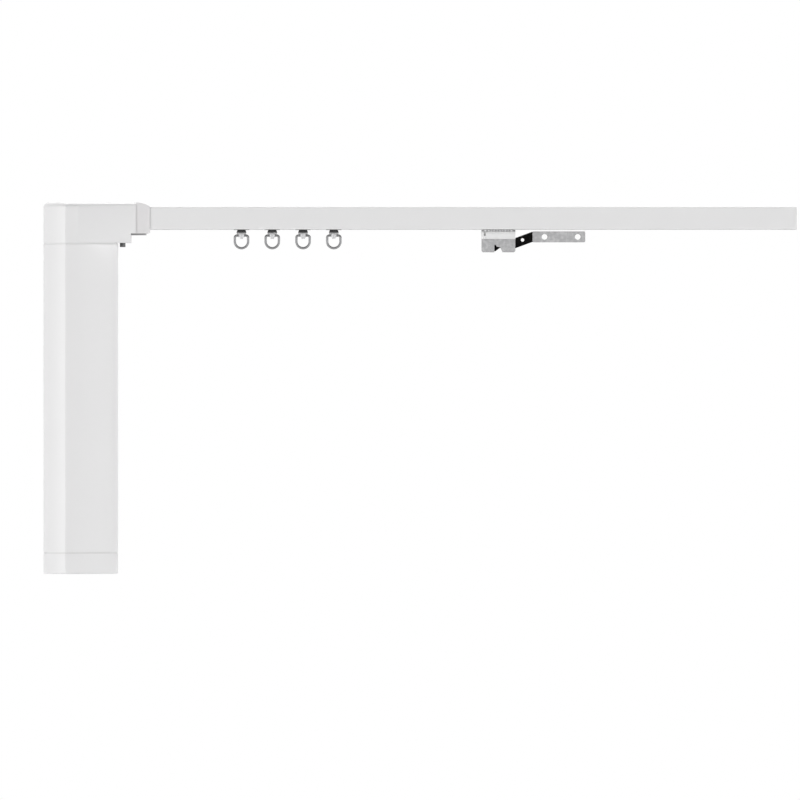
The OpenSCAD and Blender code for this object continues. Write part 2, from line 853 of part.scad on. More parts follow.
module drive_coupling() {
    color("#404040") on_axis() difference() {
        union() {
            translate([0, 0, z_shaft - sleeve_h + sleeve_end]) cylinder(r = sleeve_r, h = sleeve_h);
            translate([0, 0, z_shaft]) cylinder(r = hex_r, h = z_hub + hex_deep - z_shaft - fit, $fn = 6);
        }
        translate([0, 0, z_shaft - sleeve_h]) cylinder(r = shaft_r + run / 2, h = sleeve_h + run);
    }
}

// Turns its children to the place of each planet
function planet_turn(k) = (k - 1) * 360 / planet_count;

module planet_carrier() {
    color("slategray") on_axis() {
        translate([0, 0, z_carrier]) cylinder(r = planet_orbit + pin_r + carrier_rim, h = carrier_t);
        translate([0, 0, z_carrier]) cylinder(r = shaft_r, h = z_shaft - z_carrier);
        for (k = [1 : planet_count]) rotate(planet_turn(k)) translate([planet_orbit, 0, z_gears])
            cylinder(r = pin_r, h = z_carrier - z_gears + eps);
    }
}

module planet_gear(k) {
    a = planet_turn(k);
    half_pitch = 180 / planet_teeth;
    color("goldenrod") on_axis() rotate(a) translate([planet_orbit, 0, z_gears]) difference() {
        linear_extrude(gear_h) outer_gear(planet_teeth, 180 + half_pitch);
        translate([0, 0, -1]) cylinder(r = pin_r + run, h = gear_h + 2);
    }
}

module rotor() {
    color("darkkhaki") on_axis() {
        between(z_can_low + can_wall + air, z_gears + eps) circle(rotor_shaft_r);
        translate([0, 0, z_core]) cylinder(r = core_r, h = core_len);
        translate([0, 0, z_gears]) linear_extrude(gear_h) outer_gear(sun_teeth, 0);
    }
}

module motor_mount() {
    color("lightslategray") difference() {
        between(z_mount, z_mount + mount_t) motor_outline(tube_wall + fit);
        on_axis() translate([0, 0, z_mount - 1]) cylinder(r = shaft_r + run, h = mount_t + 2);
    }
}

module gearbox_ring() {
    color("slategray") on_axis() difference() {
        translate([0, 0, z_can]) cylinder(r = can_r, h = z_mount - z_can);
        between(z_can - 1, z_carrier - air / 2) ring_gear_hole();
        between(z_carrier - air, z_mount + 1) circle(pitch_r(ring_teeth) + gear_m);
    }
}

module motor_can() {
    color("silver") on_axis() difference() {
        translate([0, 0, z_can_low]) cylinder(r = can_r, h = can_len);
        translate([0, 0, z_can_low + 2 * can_wall])
            cylinder(r = can_r - can_wall, h = can_len - 3 * can_wall);
        translate([0, 0, z_can_low + can_wall]) cylinder(r = rotor_shaft_r + run, h = can_len);
    }
}

module stator_magnets() {
    color("#383838") on_axis() between(z_core - magnet_over, z_core + core_len + magnet_over) difference() {
        circle(can_r - can_wall - run);
        circle(magnet_in);
        translate([-can_r, -magnet_gap / 2]) square([2 * can_r, magnet_gap]);
    }
}

module motor_damper() {
    low = z_can_low + damper_up;
    color("#282828") difference() {
        between(low, low + damper_h) motor_outline(tube_wall + fit);
        on_axis() translate([0, 0, low - 1]) cylinder(r = can_r + run, h = damper_h + 2);
    }
}

module seam_gaskets() {
    color("darkgray") for (z = [z_tube, z_cap]) between(z, z + seam_t) motor_ring(seam_in, tube_wall);
}

module motor_tube() {
    color("white") between(z_tube_low, z_tube) motor_ring(0, tube_wall);
}

module bottom_cap() {
    spigot = tube_wall + fit;
    color("white") difference() {
        union() {
            between(z_foot + cap_edge, z_cap) motor_outline(0);
            hull() for (s = edge_slices(cap_edge))
                translate([0, 0, z_foot + cap_edge - s[1]]) linear_extrude(eps) motor_outline(s[0], coarse);
            between(z_cap, z_cap + seam_t + spigot_h) motor_outline(spigot);
        }
        difference() {
            between(z_foot + cap_floor, z_cap + seam_t + spigot_h + 1) motor_outline(spigot + spigot_t);
            for (x = [x_board + board_grip - board_post.x, x_board + board_w - board_grip])
                translate([x, y_board - board_post.y / 2, z_foot])
                    cube([board_post.x, board_post.y, z_board + board_slot - z_foot]);
        }
        translate([x_board - fit, y_board - board_t / 2 - fit, z_board])
            cube([board_w + 2 * fit, board_t + 2 * fit, board_h]);
        translate([x_inlet, y_inlet, z_foot - 1]) linear_extrude(cap_floor + 2) inlet_outline(fit);
    }
}

module control_board() {
    color("seagreen") translate([x_board, y_board - board_t / 2, z_board])
        cube([board_w, board_t, board_h]);
}

module board_parts() {
    front = y_board - board_t / 2;
    back = y_board + board_t / 2;
    mid = z_board + board_h / 2;
    capacitor = [4.5, 9];
    capacitor_gap = 11;
    supply = [16, 10, 16];
    driver = [14, 3, 14];
    color("#303848") {
        for (i = [1 : board_capacitors])
            translate([x_axis + (i - (board_capacitors + 1) / 2) * capacitor_gap, front, mid - supply.z])
                rotate([90, 0, 0]) cylinder(r = capacitor.x, h = capacitor.y);
        translate([x_axis - supply.x / 2, front - supply.y, mid]) cube(supply);
        translate([x_axis - driver.x / 2, back, mid - supply.z]) cube(driver);
    }
}

// Oblong outline of the inlet, grown by a gap
module inlet_outline(grow) {
    half = inlet_d / 2 + grow;
    reach = (inlet_w - inlet_d) / 2;
    translate([-reach, -half]) square([2 * reach, 2 * half]);
    for (x = [-reach, reach]) translate([x, 0]) circle(half);
}

module power_inlet() {
    color("#181818") translate([x_inlet, y_inlet, z_foot]) difference() {
        union() {
            linear_extrude(inlet_deep + inlet_flange) inlet_outline(0);
            translate([0, 0, cap_floor]) linear_extrude(inlet_flange) inlet_outline(inlet_wall);
        }
        translate([0, 0, -1]) linear_extrude(inlet_deep + 1) inlet_outline(-inlet_wall);
        for (x = [-1, 1] * inlet_pin_gap / 2) translate([x, 0, 0])
            cylinder(r = inlet_pin_r + run / 2, h = 2 * inlet_deep);
    }
}

module inlet_pins() {
    color("silver") for (x = [-1, 1] * inlet_pin_gap / 2)
        translate([x_inlet + x, y_inlet, z_foot + inlet_pin_in])
            cylinder(r = inlet_pin_r, h = inlet_deep + inlet_flange);
}

module release_button() {
    color("#303030") translate([x_button, 0, 0]) {
        translate([0, 0, z_head - button_out]) cylinder(r = button_r, h = z_spring - z_head + button_out);
        translate([0, 0, z_button_rim]) cylinder(r = button_r + button_rim, h = button_rim_h);
    }
}

module release_spring() {
    color("silver") translate([x_button, 0, z_spring]) difference() {
        cylinder(r = button_r + spring_over, h = z_bridge - z_spring);
        translate([0, 0, -1])
            cylinder(r = button_r + spring_over - spring_wire, h = z_bridge - z_spring + 2);
    }
}

// Axle with a wheel near each end, across the rail
module wheel_set() {
    inside = runner_half + air;
    outside = inside + wheel_w;
    translate([0, 0, z_wheel]) rotate([-90, 0, 0]) {
        translate([0, 0, -outside]) cylinder(r = axle_r, h = 2 * outside);
        for (y = [-outside, inside]) translate([0, 0, y]) cylinder(r = wheel_r, h = wheel_w);
    }
}

// Hole for an axle through a runner's body
module axle_hole() {
    translate([0, runner_half + 1, z_wheel]) rotate([90, 0, 0])
        cylinder(r = axle_r + run, h = 2 * runner_half + 2);
}

// Body of a runner in the rail, with a neck that reaches down through the slot
module runner_body(length, low) {
    neck_half = slot_w / 2 - neck_gap;
    high = z_wheel + axle_r + axle_wall;
    box([-length / 2, -runner_half, z_track + air], [length / 2, runner_half, high]);
    box(
        [neck_in - length / 2, -neck_half, low],
        [length / 2 - neck_in, neck_half, z_track + air + eps]
    );
}

module glider_truck(k) {
    color("#181818") translate([glider_x(k), 0, 0]) difference() {
        union() {
            runner_body(truck_len, z_under - eps);
            translate([0, 0, z_flange]) cylinder(r1 = flange_r, r2 = flange_r - flange_fall, h = flange_h);
        }
        axle_hole();
        translate([0, 0, z_flange - 1]) cylinder(r = swivel_r + run, h = z_pin_head - z_flange + 1);
        translate([0, 0, z_pin_head - fit]) cylinder(r = pin_head_r + fit, h = pin_head_h + 2 * fit);
    }
}

module glider_wheels(k) {
    color("gainsboro") translate([glider_x(k), 0, 0]) wheel_set();
}

module glider_swivel(k) {
    color("darkgray") translate([glider_x(k), 0, 0]) difference() {
        union() {
            translate([0, 0, z_stem - stem_h]) cylinder(r = stem_r, h = stem_h);
            translate([0, 0, z_stem - stem_h - nib_h]) cylinder(r = stem_r - nib_in, h = nib_h + fit);
            translate([0, 0, z_stem - eps]) cylinder(r = swivel_r, h = z_pin_head - z_stem + 2 * eps);
            translate([0, 0, z_pin_head]) cylinder(r = pin_head_r, h = pin_head_h);
        }
        translate([-stem_r - 1, 0, z_eye]) rotate([0, 90, 0])
            cylinder(r = wire_r + run, h = 2 * stem_r + 2);
    }
}

// Quarter or half bend of the ring's wire, in the plane of X and Z
module wire_bend(at, r, start, turn) {
    translate([at.x, 0, at.y]) rotate([90, 0, 0]) rotate(start) rotate_extrude(angle = turn)
        translate([r, 0]) circle(wire_r);
}

module glider_ring(k) {
    shoulder_x = ring_half - shoulder_r;
    shoulder_z = z_eye - shoulder_r;
    color("silver") translate([glider_x(k), 0, 0]) {
        wire_bend([0, z_ring], ring_half, 180, 180);
        wire_bend([shoulder_x, shoulder_z], shoulder_r, 0, 90);
        wire_bend([-shoulder_x, shoulder_z], shoulder_r, 90, 90);
        for (x = [-ring_half, ring_half]) translate([x, 0, z_ring])
            cylinder(r = wire_r, h = shoulder_z - z_ring);
        translate([-shoulder_x, 0, z_eye]) rotate([0, 90, 0]) cylinder(r = wire_r, h = 2 * shoulder_x);
    }
}

// Places its children at the carriage's middle
module on_carriage() {
    translate([x_carriage, 0, 0]) children();
}

module carriage_frame() {
    color("#404040") on_carriage() difference() {
        runner_body(carriage_len - 2 * air, z_under + fit);
        for (x = [-1, 1] * axle_gap / 2) translate([x, 0, 0]) axle_hole();
        for (x = saddle_screw_x) translate([x, 0, z_under - 1])
            cylinder(r = screw_r + run, h = screw_bite + screw_sink + 1);
    }
}

module carriage_wheels(side) {
    color("gainsboro") translate([x_carriage + side * axle_gap / 2, 0, 0]) wheel_set();
}

module belt_clamp() {
    half = axle_gap / 2 - wheel_r - air;
    inner = -belt_in + belt_tooth + air;
    outer = -belt_out - air;
    jaw = 1;
    low = z_belt - belt_w / 2;
    over = z_belt + belt_w / 2 + air;
    high = over + jaw;
    color("#606060") on_carriage() difference() {
        box([-half, outer - jaw, low], [half, -runner_half, high]);
        box([-half - 1, outer, low - 1], [half + 1, inner, over]);
    }
}

module glide_strip() {
    half = carriage_len / 2;
    plain = 3;
    slot = [(carriage_len / 2 - plain) / strip_slots, 3];
    color("darkgray") on_carriage() difference() {
        box([-half, -strip_w / 2, z_strip], [half, strip_w / 2, z_under + fit]);
        for (i = [0 : strip_slots - 1], s = [-1, 1])
            translate([plain + (2 * i + 1) * slot.x - half, s * strip_w / 2, (z_strip + z_under) / 2])
                cube([slot.x, slot.y, 2 * strip_t], center = true);
        for (x = saddle_screw_x) translate([x, 0, z_strip - 1])
            cylinder(r = screw_r + run, h = strip_t + 2);
    }
}

module carriage_saddle() {
    half = carriage_len / 2;
    back = saddle_d / 2;
    slot = fit / 2;
    bevel = 0.8;
    post = 1.8;
    tick = [1.2, 2];
    rebate = [0.7, 1.7];
    tick_x = post - half;
    z_tick = z_saddle + hook_in + 2 * fit;
    color("white") on_carriage() difference() {
        along_x(-half, carriage_len) polygon([
            [-strip_w / 2, z_strip], [strip_w / 2, z_strip],
            [back, z_strip - bevel], [back, z_saddle], [-back, z_saddle], [-back, z_strip - bevel]
        ]);
        box(
            [-half - 1, y_hook - slot, z_saddle - 1],
            [half + 1, y_hook + sheet_t + slot, z_saddle + hook_in]
        );
        box([tick_x, -back - 1, z_strip - rebate.y], [half + 1, -back + rebate.x, z_strip + 1]);
        box([tick_x, -back - 1, z_tick], [tick_x + tick.x, -back + tick.y, z_strip + 1]);
        for (x = saddle_screw_x) translate([x, 0, z_saddle - 1]) {
            cylinder(r = screw_r + run, h = saddle_h + 2);
            cylinder(r = screw_head_r + fit, h = screw_head_h + screw_sink + 1);
        }
    }
}

module saddle_screws() {
    color("silver") on_carriage() for (x = saddle_screw_x)
        translate([x, 0, z_saddle + screw_head_h + screw_sink])
            screw(saddle_h + strip_t + screw_bite - screw_head_h - screw_sink);
}

module hook_plate() {
    half = carriage_len / 2;
    r = hook_edge;
    left = -notch_w / 2;
    peak = z_hook + notch_h;
    color("silver") on_carriage() along_y(y_hook, sheet_t) difference() {
        union() {
            translate([-half, z_hook + r]) square([2 * half, hook_h + hook_in - r - fit]);
            round_rect([-half, z_hook], [half, z_hook + 4 * r], r);
        }
        polygon([
            [left, z_hook - 1], [left, peak], [left + 0.7, peak], [left + 1.7, peak - 1.3],
            [left + 4.2, peak - 1.9], [-left, z_hook], [-left, z_hook - 1]
        ]);
    }
}

module arm_crank() {
    right_low = z_crank + crank_rise;
    sliver = 0.2;
    depth = 2 * sheet_t;
    left = x_plate_end + fit;
    right = x_strap - fit;
    root_end = x_carriage - notch_w / 2 - root_cover;
    root_tip = x_carriage - notch_w / 2 + root_cover;
    root_top = z_saddle - fit;
    z_tip = z_hook + root_cover;
    hole_at = 0.42;
    color("#101010") difference() {
        union() {
            hull() {
                translate([left, y_hook, z_crank]) cube([sliver, depth, crank_h]);
                translate([right - sliver, y_strap, right_low]) cube([sliver, depth, crank_h]);
            }
            along_y(y_hook + sheet_t, sheet_t) polygon([
                [left + eps, z_crank], [x_carriage + root_cover, z_crank], [root_tip, z_tip],
                [root_end, z_tip], [root_end, root_top], [left + eps, root_top]
            ]);
            box(
                [right - eps, y_strap + sheet_t, right_low],
                [x_strap + tab_len, y_strap + depth, right_low + crank_h]
            );
        }
        translate([x_plate_end + hole_at * crank_len, 0, z_crank + (crank_h + crank_rise) / 2])
            rotate([90, 0, 0]) cylinder(r = crank_hole_r, h = 2 * saddle_d);
    }
}

module arm_strap() {
    r = 1;
    color("darkgray") along_y(y_strap, sheet_t) difference() {
        round_rect([x_strap, z_strap], [x_strap + strap_len, z_strap + strap_h], r);
        for (i = [0, 1]) translate([x_strap + strap_hole_at + i * strap_hole_gap, z_strap + strap_h / 2])
            circle(strap_hole_r);
    }
}

rail();
rail_end_cap();
return_block();
idler_axle();
drive_belt();
head_housing();
head_base();
rail_socket();
rail_lock_plate();
upper_bearing();
lower_bearing();
seam_gaskets();
motor_tube();
bottom_cap();
motor_mount();
gearbox_ring();
motor_can();
stator_magnets();
motor_damper();
control_board();
board_parts();
power_inlet();
inlet_pins();
case_screws();
release_button();
release_spring();
rotor();
planet_carrier();
drive_coupling();
drive_pulley();
idler_pulley();
carriage_frame();
belt_clamp();
glide_strip();
carriage_saddle();
saddle_screws();
hook_plate();
arm_crank();
arm_strap();
carriage_wheels(-1);  // carriage_wheels_1
carriage_wheels(1);  // carriage_wheels_2
for (k = [1 : planet_count]) {
    planet_gear(k);
}
for (k = [1 : glider_count]) {
    glider_truck(k);
    glider_wheels(k);
    glider_swivel(k);
    glider_ring(k);
}
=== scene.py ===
"""Looks of an electric curtain track: motor, drive head, rail, gliders and carriage."""

import json
import logging
import math
from collections.abc import Sequence
from dataclasses import dataclass, field
from enum import Enum
from typing import ClassVar

import bmesh
import bpy
from mathutils import Matrix, Vector

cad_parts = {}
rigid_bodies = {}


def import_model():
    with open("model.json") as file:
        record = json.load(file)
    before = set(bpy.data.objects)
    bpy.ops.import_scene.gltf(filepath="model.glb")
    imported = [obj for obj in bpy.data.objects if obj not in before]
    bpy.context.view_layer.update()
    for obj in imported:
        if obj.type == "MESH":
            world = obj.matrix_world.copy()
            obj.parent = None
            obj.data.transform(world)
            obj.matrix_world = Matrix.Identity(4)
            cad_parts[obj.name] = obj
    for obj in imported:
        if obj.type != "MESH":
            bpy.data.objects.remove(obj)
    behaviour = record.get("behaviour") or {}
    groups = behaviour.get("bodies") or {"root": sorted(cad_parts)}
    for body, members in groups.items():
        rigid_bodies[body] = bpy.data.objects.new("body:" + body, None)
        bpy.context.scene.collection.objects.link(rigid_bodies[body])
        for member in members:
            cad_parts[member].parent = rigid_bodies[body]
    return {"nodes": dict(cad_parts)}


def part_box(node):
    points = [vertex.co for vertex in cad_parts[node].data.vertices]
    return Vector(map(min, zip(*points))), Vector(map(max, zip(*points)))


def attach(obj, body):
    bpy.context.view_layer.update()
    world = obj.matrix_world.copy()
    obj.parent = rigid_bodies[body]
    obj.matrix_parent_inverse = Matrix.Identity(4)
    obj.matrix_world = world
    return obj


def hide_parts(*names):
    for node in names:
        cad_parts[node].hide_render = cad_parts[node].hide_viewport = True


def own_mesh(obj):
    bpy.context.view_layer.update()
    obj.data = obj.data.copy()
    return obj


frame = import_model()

LOG = logging.getLogger("curtain_track")
MM = 0.001
GLIDER_COUNT = 4
MERGE_DISTANCE = 1e-6
ROUND_SEGMENTS = 2
RELIEF_DEPTH = 0.2 * MM
TRIM_EDGE = 0.15 * MM
TRIM_SHARP = math.radians(60.0)
TRIM_SMOOTH = math.radians(40.0)
DUST_TONE = (0.62, 0.61, 0.59)
WHITE = (1.0, 1.0, 1.0, 1.0)
Colour = tuple[float, float, float]
Point = tuple[float, float, float]
Socket = bpy.types.NodeSocket


class Surface(Enum):
    """Kinds of surface texture that a finish can have."""

    MOULDED = "moulded_grain"
    DRAWN = "drawn_lines"


class Graph:
    """Adds nodes to a node tree and links them."""

    def __init__(self, tree: bpy.types.NodeTree) -> None:
        """Keeps the tree that the nodes go into.

        Args:
            tree: Shader or geometry tree to fill.
        """
        self.tree = tree

    def add(
        self, kind: str, values: dict[str | int, object] | None = None, **props: object
    ) -> bpy.types.Node:
        """Adds one node.

        Args:
            kind: Blender's name of the node type.
            values: Values of inputs, or sockets to link to them, by name or number.
            **props: Properties of the node itself.

        Returns:
            The new node.
        """
        node = self.tree.nodes.new(kind)
        for name, value in props.items():
            setattr(node, name, value)
        for name, value in (values or {}).items():
            if isinstance(value, Socket):
                self.link(value, node.inputs[name])
            else:
                node.inputs[name].default_value = value
        return node

    def link(self, source: Socket, target: Socket) -> None:
        """Links an output socket to an input socket."""
        self.tree.links.new(source, target)

    def math(self, operation: str, *terms: Socket | float, clamp: bool = False) -> Socket:
        """Adds a math node.

        Args:
            operation: Blender's name of the operation.
            *terms: Sockets and numbers that go in, in order.
            clamp: Whether the result is kept from 0 to 1.

        Returns:
            Socket of the result.
        """
        values = dict(enumerate(terms))
        node = self.add("ShaderNodeMath", values, operation=operation, use_clamp=clamp)
        return node.outputs[0]


class ShaderGroups:
    """Shader node groups that several finishes share, each built once.

    Attributes:
        pit_share: Share of the pits in the moulded relief.
        line_share: Share of the lines in the tone of drawn metal.
    """

    pit_share: ClassVar[float] = 0.35
    line_share: ClassVar[float] = 0.5

    def __init__(self) -> None:
        """Starts with no group built."""
        self._made: dict[str, bpy.types.NodeTree] = {}

    def get(self, name: str) -> bpy.types.NodeTree:
        """Gives a group, building it the first time.

        Args:
            name: moulded_grain, drawn_lines, edge_wear or dust_film.

        Returns:
            The group's node tree.
        """
        if name not in self._made:
            self._made[name] = getattr(self, "_" + name)()
        return self._made[name]

    @staticmethod
    def _start(
        name: str, amounts: Sequence[str], results: Sequence[str]
    ) -> tuple[Graph, bpy.types.bpy_prop_collection]:
        """Makes an empty group that takes a vector and some numbers.

        Args:
            name: Name of the group.
            amounts: Names of the number inputs, after the vector.
            results: Names of the number outputs.

        Returns:
            The graph and the sockets that come in.
        """
        tree = bpy.data.node_groups.new(name, "ShaderNodeTree")
        face = tree.interface
        face.new_socket("Vector", in_out="INPUT", socket_type="NodeSocketVector")
        for way, labels in (("INPUT", amounts), ("OUTPUT", results)):
            for label in labels:
                face.new_socket(label, in_out=way, socket_type="NodeSocketFloat")
        graph = Graph(tree)
        return graph, graph.add("NodeGroupInput").outputs

    def _moulded_grain(self) -> bpy.types.NodeTree:
        """Builds the pebbled grain of moulded plastic, with slow clouds of tone.

        Returns:
            The group's node tree.
        """
        graph, given = self._start("moulded_grain", ("Scale",), ("Mask", "Height"))
        where, scale = given["Vector"], given["Scale"]
        clouds = graph.add(
            "ShaderNodeTexNoise", {"Vector": where, "Scale": 22.0, "Detail": 3.0, "Roughness": 0.55}
        )
        grain = graph.add(
            "ShaderNodeTexNoise", {"Vector": where, "Scale": scale, "Detail": 2.0, "Roughness": 0.6}
        )
        pits = graph.add(
            "ShaderNodeTexVoronoi", {"Vector": where, "Scale": scale}, feature="SMOOTH_F1"
        )
        height = graph.math(
            "MULTIPLY_ADD", pits.outputs["Distance"], self.pit_share, grain.outputs[0]
        )
        graph.add("NodeGroupOutput", {"Mask": clouds.outputs[0], "Height": height})
        return graph.tree

    def _drawn_lines(self) -> bpy.types.NodeTree:
        """Builds fine lines along X, as on extruded, drawn or brushed metal.

        Returns:
            The group's node tree.
        """
        graph, given = self._start("drawn_lines", ("Scale",), ("Mask", "Height"))
        where, scale = given["Vector"], given["Scale"]
        stretch = graph.add("ShaderNodeMapping", {"Vector": where, "Scale": (0.02, 1.0, 1.0)})
        lines = graph.add(
            "ShaderNodeTexNoise",
            {"Vector": stretch.outputs[0], "Scale": scale, "Detail": 4.0, "Roughness": 0.65},
        )
        clouds = graph.add("ShaderNodeTexNoise", {"Vector": where, "Scale": 16.0, "Detail": 2.0})
        rest = graph.math("MULTIPLY", clouds.outputs[0], 1.0 - self.line_share)
        mask = graph.math("MULTIPLY_ADD", lines.outputs[0], self.line_share, rest)
        graph.add("NodeGroupOutput", {"Mask": mask, "Height": lines.outputs[0]})
        return graph.tree

    def _edge_wear(self) -> bpy.types.NodeTree:
        """Builds broken rubbing along edges, from a piece's own edge attribute.

        Returns:
            The group's node tree.
        """
        graph, given = self._start("edge_wear", ("Edge", "Amount"), ("Mask",))
        patches = graph.add(
            "ShaderNodeTexNoise", {"Vector": given["Vector"], "Scale": 420.0, "Detail": 4.0}
        )
        ramp = graph.add(
            "ShaderNodeMapRange", {"Value": patches.outputs[0], "From Min": 0.42, "From Max": 0.68}
        )
        rubbed = graph.math("MULTIPLY", ramp.outputs[0], given["Edge"])
        mask = graph.math("MULTIPLY", rubbed, given["Amount"], clamp=True)
        graph.add("NodeGroupOutput", {"Mask": mask})
        return graph.tree

    def _dust_film(self) -> bpy.types.NodeTree:
        """Builds thin dust on faces that look upwards.

        Returns:
            The group's node tree.
        """
        graph, given = self._start("dust_film", ("Amount",), ("Mask",))
        facing = graph.add("ShaderNodeNewGeometry").outputs["Normal"]
        split = graph.add("ShaderNodeSeparateXYZ", {0: facing})
        up = graph.add(
            "ShaderNodeMapRange", {"Value": split.outputs["Z"], "From Min": 0.5, "From Max": 1.0}
        )
        specks = graph.add(
            "ShaderNodeTexNoise",
            {"Vector": given["Vector"], "Scale": 160.0, "Detail": 5.0, "Roughness": 0.7},
        )
        patchy = graph.math("MULTIPLY", up.outputs[0], specks.outputs[0])
        mask = graph.math("MULTIPLY", patchy, given["Amount"], clamp=True)
        graph.add("NodeGroupOutput", {"Mask": mask})
        return graph.tree


@dataclass(frozen=True)
class Finish:
    """One finish of the track: its two tones, gloss and texture.

    Attributes:
        name: Name of the material.
        slot: Slot of the record that it belongs to; not used.
        tone: Main colour, linear.
        second: Colour in the slow clouds or lines.
        roughness: Lowest and highest roughness.
        surface: Kind of texture.
        scale: Size of the texture, in cycles per metre.
        bump: Strength of the relief.
        metallic: One for bare metal.
        specular: Strength of the gloss on what isn't metal.
        worn: Colour under rubbed edges.
        wear: Share of the edges that is rubbed.
        dust: Share of dust on upward faces.
    """

    name: str
    slot: str
    tone: Colour
    second: Colour
    roughness: tuple[float, float]
    surface: Surface = Surface.MOULDED
    scale: float = 2600.0
    bump: float = 0.04
    metallic: float = 0.0
    specular: float = 0.5
    worn: Colour = (0.86, 0.86, 0.86)
    wear: float = 0.0
    dust: float = 0.0

    def material(self, groups: ShaderGroups) -> bpy.types.Material:
        """Builds the material's node tree.

        Args:
            groups: Shared shader groups.

        Returns:
            The finished material.
        """
        made = bpy.data.materials.new(self.name)
        made.use_nodes = True
        made.node_tree.nodes.clear()
        graph = Graph(made.node_tree)
        where = graph.add("ShaderNodeTexCoord").outputs["Object"]
        texture = graph.add(
            "ShaderNodeGroup",
            {"Vector": where, "Scale": self.scale},
            node_tree=groups.get(self.surface.value),
        ).outputs
        height = texture["Height"]
        colour = self._mix(graph, texture["Mask"], self.tone, self.second)
        if self.wear:
            edge = graph.add("ShaderNodeAttribute", attribute_name="edge").outputs["Fac"]
            rub = graph.add(
                "ShaderNodeGroup",
                {"Vector": where, "Edge": edge, "Amount": self.wear},
                node_tree=groups.get("edge_wear"),
            )
            colour = self._mix(graph, rub.outputs["Mask"], colour, self.worn)
        if self.dust:
            film = graph.add(
                "ShaderNodeGroup",
                {"Vector": where, "Amount": self.dust},
                node_tree=groups.get("dust_film"),
            )
            colour = self._mix(graph, film.outputs["Mask"], colour, DUST_TONE)
        low, high = self.roughness
        gloss = graph.add("ShaderNodeMapRange", {"Value": height, "To Min": low, "To Max": high})
        relief = graph.add(
            "ShaderNodeBump", {"Height": height, "Strength": self.bump, "Distance": RELIEF_DEPTH}
        )
        shader = graph.add(
            "ShaderNodeBsdfPrincipled",
            {
                "Base Color": colour,
                "Metallic": self.metallic,
                "Roughness": gloss.outputs[0],
                "Normal": relief.outputs[0],
                "Specular IOR Level": self.specular,
            },
        )
        graph.add("ShaderNodeOutputMaterial", {0: shader.outputs[0]})
        return made

    @staticmethod
    def _mix(graph: Graph, share: Socket, low: Colour | Socket, high: Colour) -> Socket:
        """Mixes two colours by a mask.

        Args:
            graph: Graph of the material.
            share: Mask from 0 to 1.
            low: Colour or socket at 0.
            high: Colour at 1.

        Returns:
            The mixed colour's socket.
        """
        first = low if isinstance(low, Socket) else (*low, 1.0)
        # Colour sockets 6 and 7 come after number and vector sockets of the same names.
        values = {0: share, 6: first, 7: (*high, 1.0)}
        return graph.add("ShaderNodeMix", values, data_type="RGBA").outputs[2]


WHITE_SHELL = Finish(
    "white_shell", "white_plastic", (0.80, 0.797, 0.80), (0.78, 0.777, 0.78), (0.42, 0.50),
    bump=0.03, dust=0.12,
)
# Painted shade: the saddle is the shell's white plastic given a darker tone, so that it looks
# shaded.
SHADED_SADDLE = Finish(
    "shaded_saddle", "white_plastic", (0.75, 0.75, 0.75), (0.72, 0.72, 0.72), (0.38, 0.48),
)
SOCKET_SHELL = Finish(
    "socket_shell", "socket_plastic", (0.75, 0.738, 0.744), (0.73, 0.718, 0.724), (0.40, 0.50),
    dust=0.1,
)
RAIL_COAT = Finish(
    "rail_coat", "white_rail", (0.78, 0.778, 0.78), (0.76, 0.758, 0.76), (0.55, 0.65),
    surface=Surface.DRAWN, scale=1500.0, bump=0.03, dust=0.15,
)
BLACK_MOULDED = Finish(
    "black_moulded", "black_plastic", (0.040, 0.040, 0.041), (0.052, 0.052, 0.053), (0.42, 0.55),
    bump=0.06,
)
DARK_MOULDED = Finish(
    "dark_moulded", "dark_plastic", (0.07, 0.07, 0.072), (0.10, 0.10, 0.10), (0.45, 0.58),
    bump=0.06, worn=(0.2, 0.2, 0.2), wear=0.2,
)
GREY_MOULDED = Finish(
    "grey_moulded", "dark_plastic", (0.34, 0.34, 0.34), (0.30, 0.30, 0.30), (0.45, 0.58),
    bump=0.06, worn=(0.3, 0.3, 0.3), wear=0.2,
)
PALE_STRIP = Finish(
    "pale_strip", "grey_plastic", (0.85, 0.85, 0.855), (0.81, 0.81, 0.815), (0.40, 0.52),
    bump=0.05,
)
GREY_STEM = Finish(
    "grey_stem", "grey_plastic", (0.62, 0.62, 0.63), (0.57, 0.57, 0.58), (0.30, 0.40), bump=0.03,
)
# Partly painted shade: the collar's grey is darker than the stem's grey plastic, for the shade
# under the truck's flange.
COLLAR_GREY_AND_SHADE = Finish(
    "collar_grey_and_shade", "grey_plastic", (0.42, 0.42, 0.425), (0.38, 0.38, 0.385), (0.34, 0.44),
    bump=0.03,
)
WHEEL_PLASTIC = Finish(
    "wheel_plastic", "wheel_plastic", (0.72, 0.72, 0.71), (0.66, 0.66, 0.65), (0.25, 0.36),
    bump=0.03,
)
BELT_RUBBER = Finish(
    "belt_rubber", "rubber", (0.025, 0.025, 0.026), (0.045, 0.045, 0.046), (0.62, 0.78),
    scale=3200.0, bump=0.15,
)
SEAM_RUBBER = Finish(
    "seam_rubber", "gasket", (0.74, 0.74, 0.74), (0.70, 0.70, 0.70), (0.6, 0.7), bump=0.05,
)
ZINC_SHEET = Finish(
    "zinc_sheet", "zinc_steel", (0.31, 0.31, 0.314), (0.30, 0.30, 0.304), (0.60, 0.66),
    surface=Surface.DRAWN, scale=2200.0, bump=0.02, metallic=1.0, worn=(0.50, 0.50, 0.50), wear=0.4,
)
ZINC_SCREW = Finish(
    "zinc_screw", "zinc_steel", (0.50, 0.50, 0.49), (0.42, 0.42, 0.41), (0.28, 0.42),
    bump=0.03, metallic=1.0,
)
NICKEL_WIRE = Finish(
    "nickel_wire", "nickel_wire", (0.23, 0.23, 0.234), (0.20, 0.20, 0.204), (0.50, 0.62),
    surface=Surface.DRAWN, scale=2400.0, bump=0.02, metallic=1.0,
)
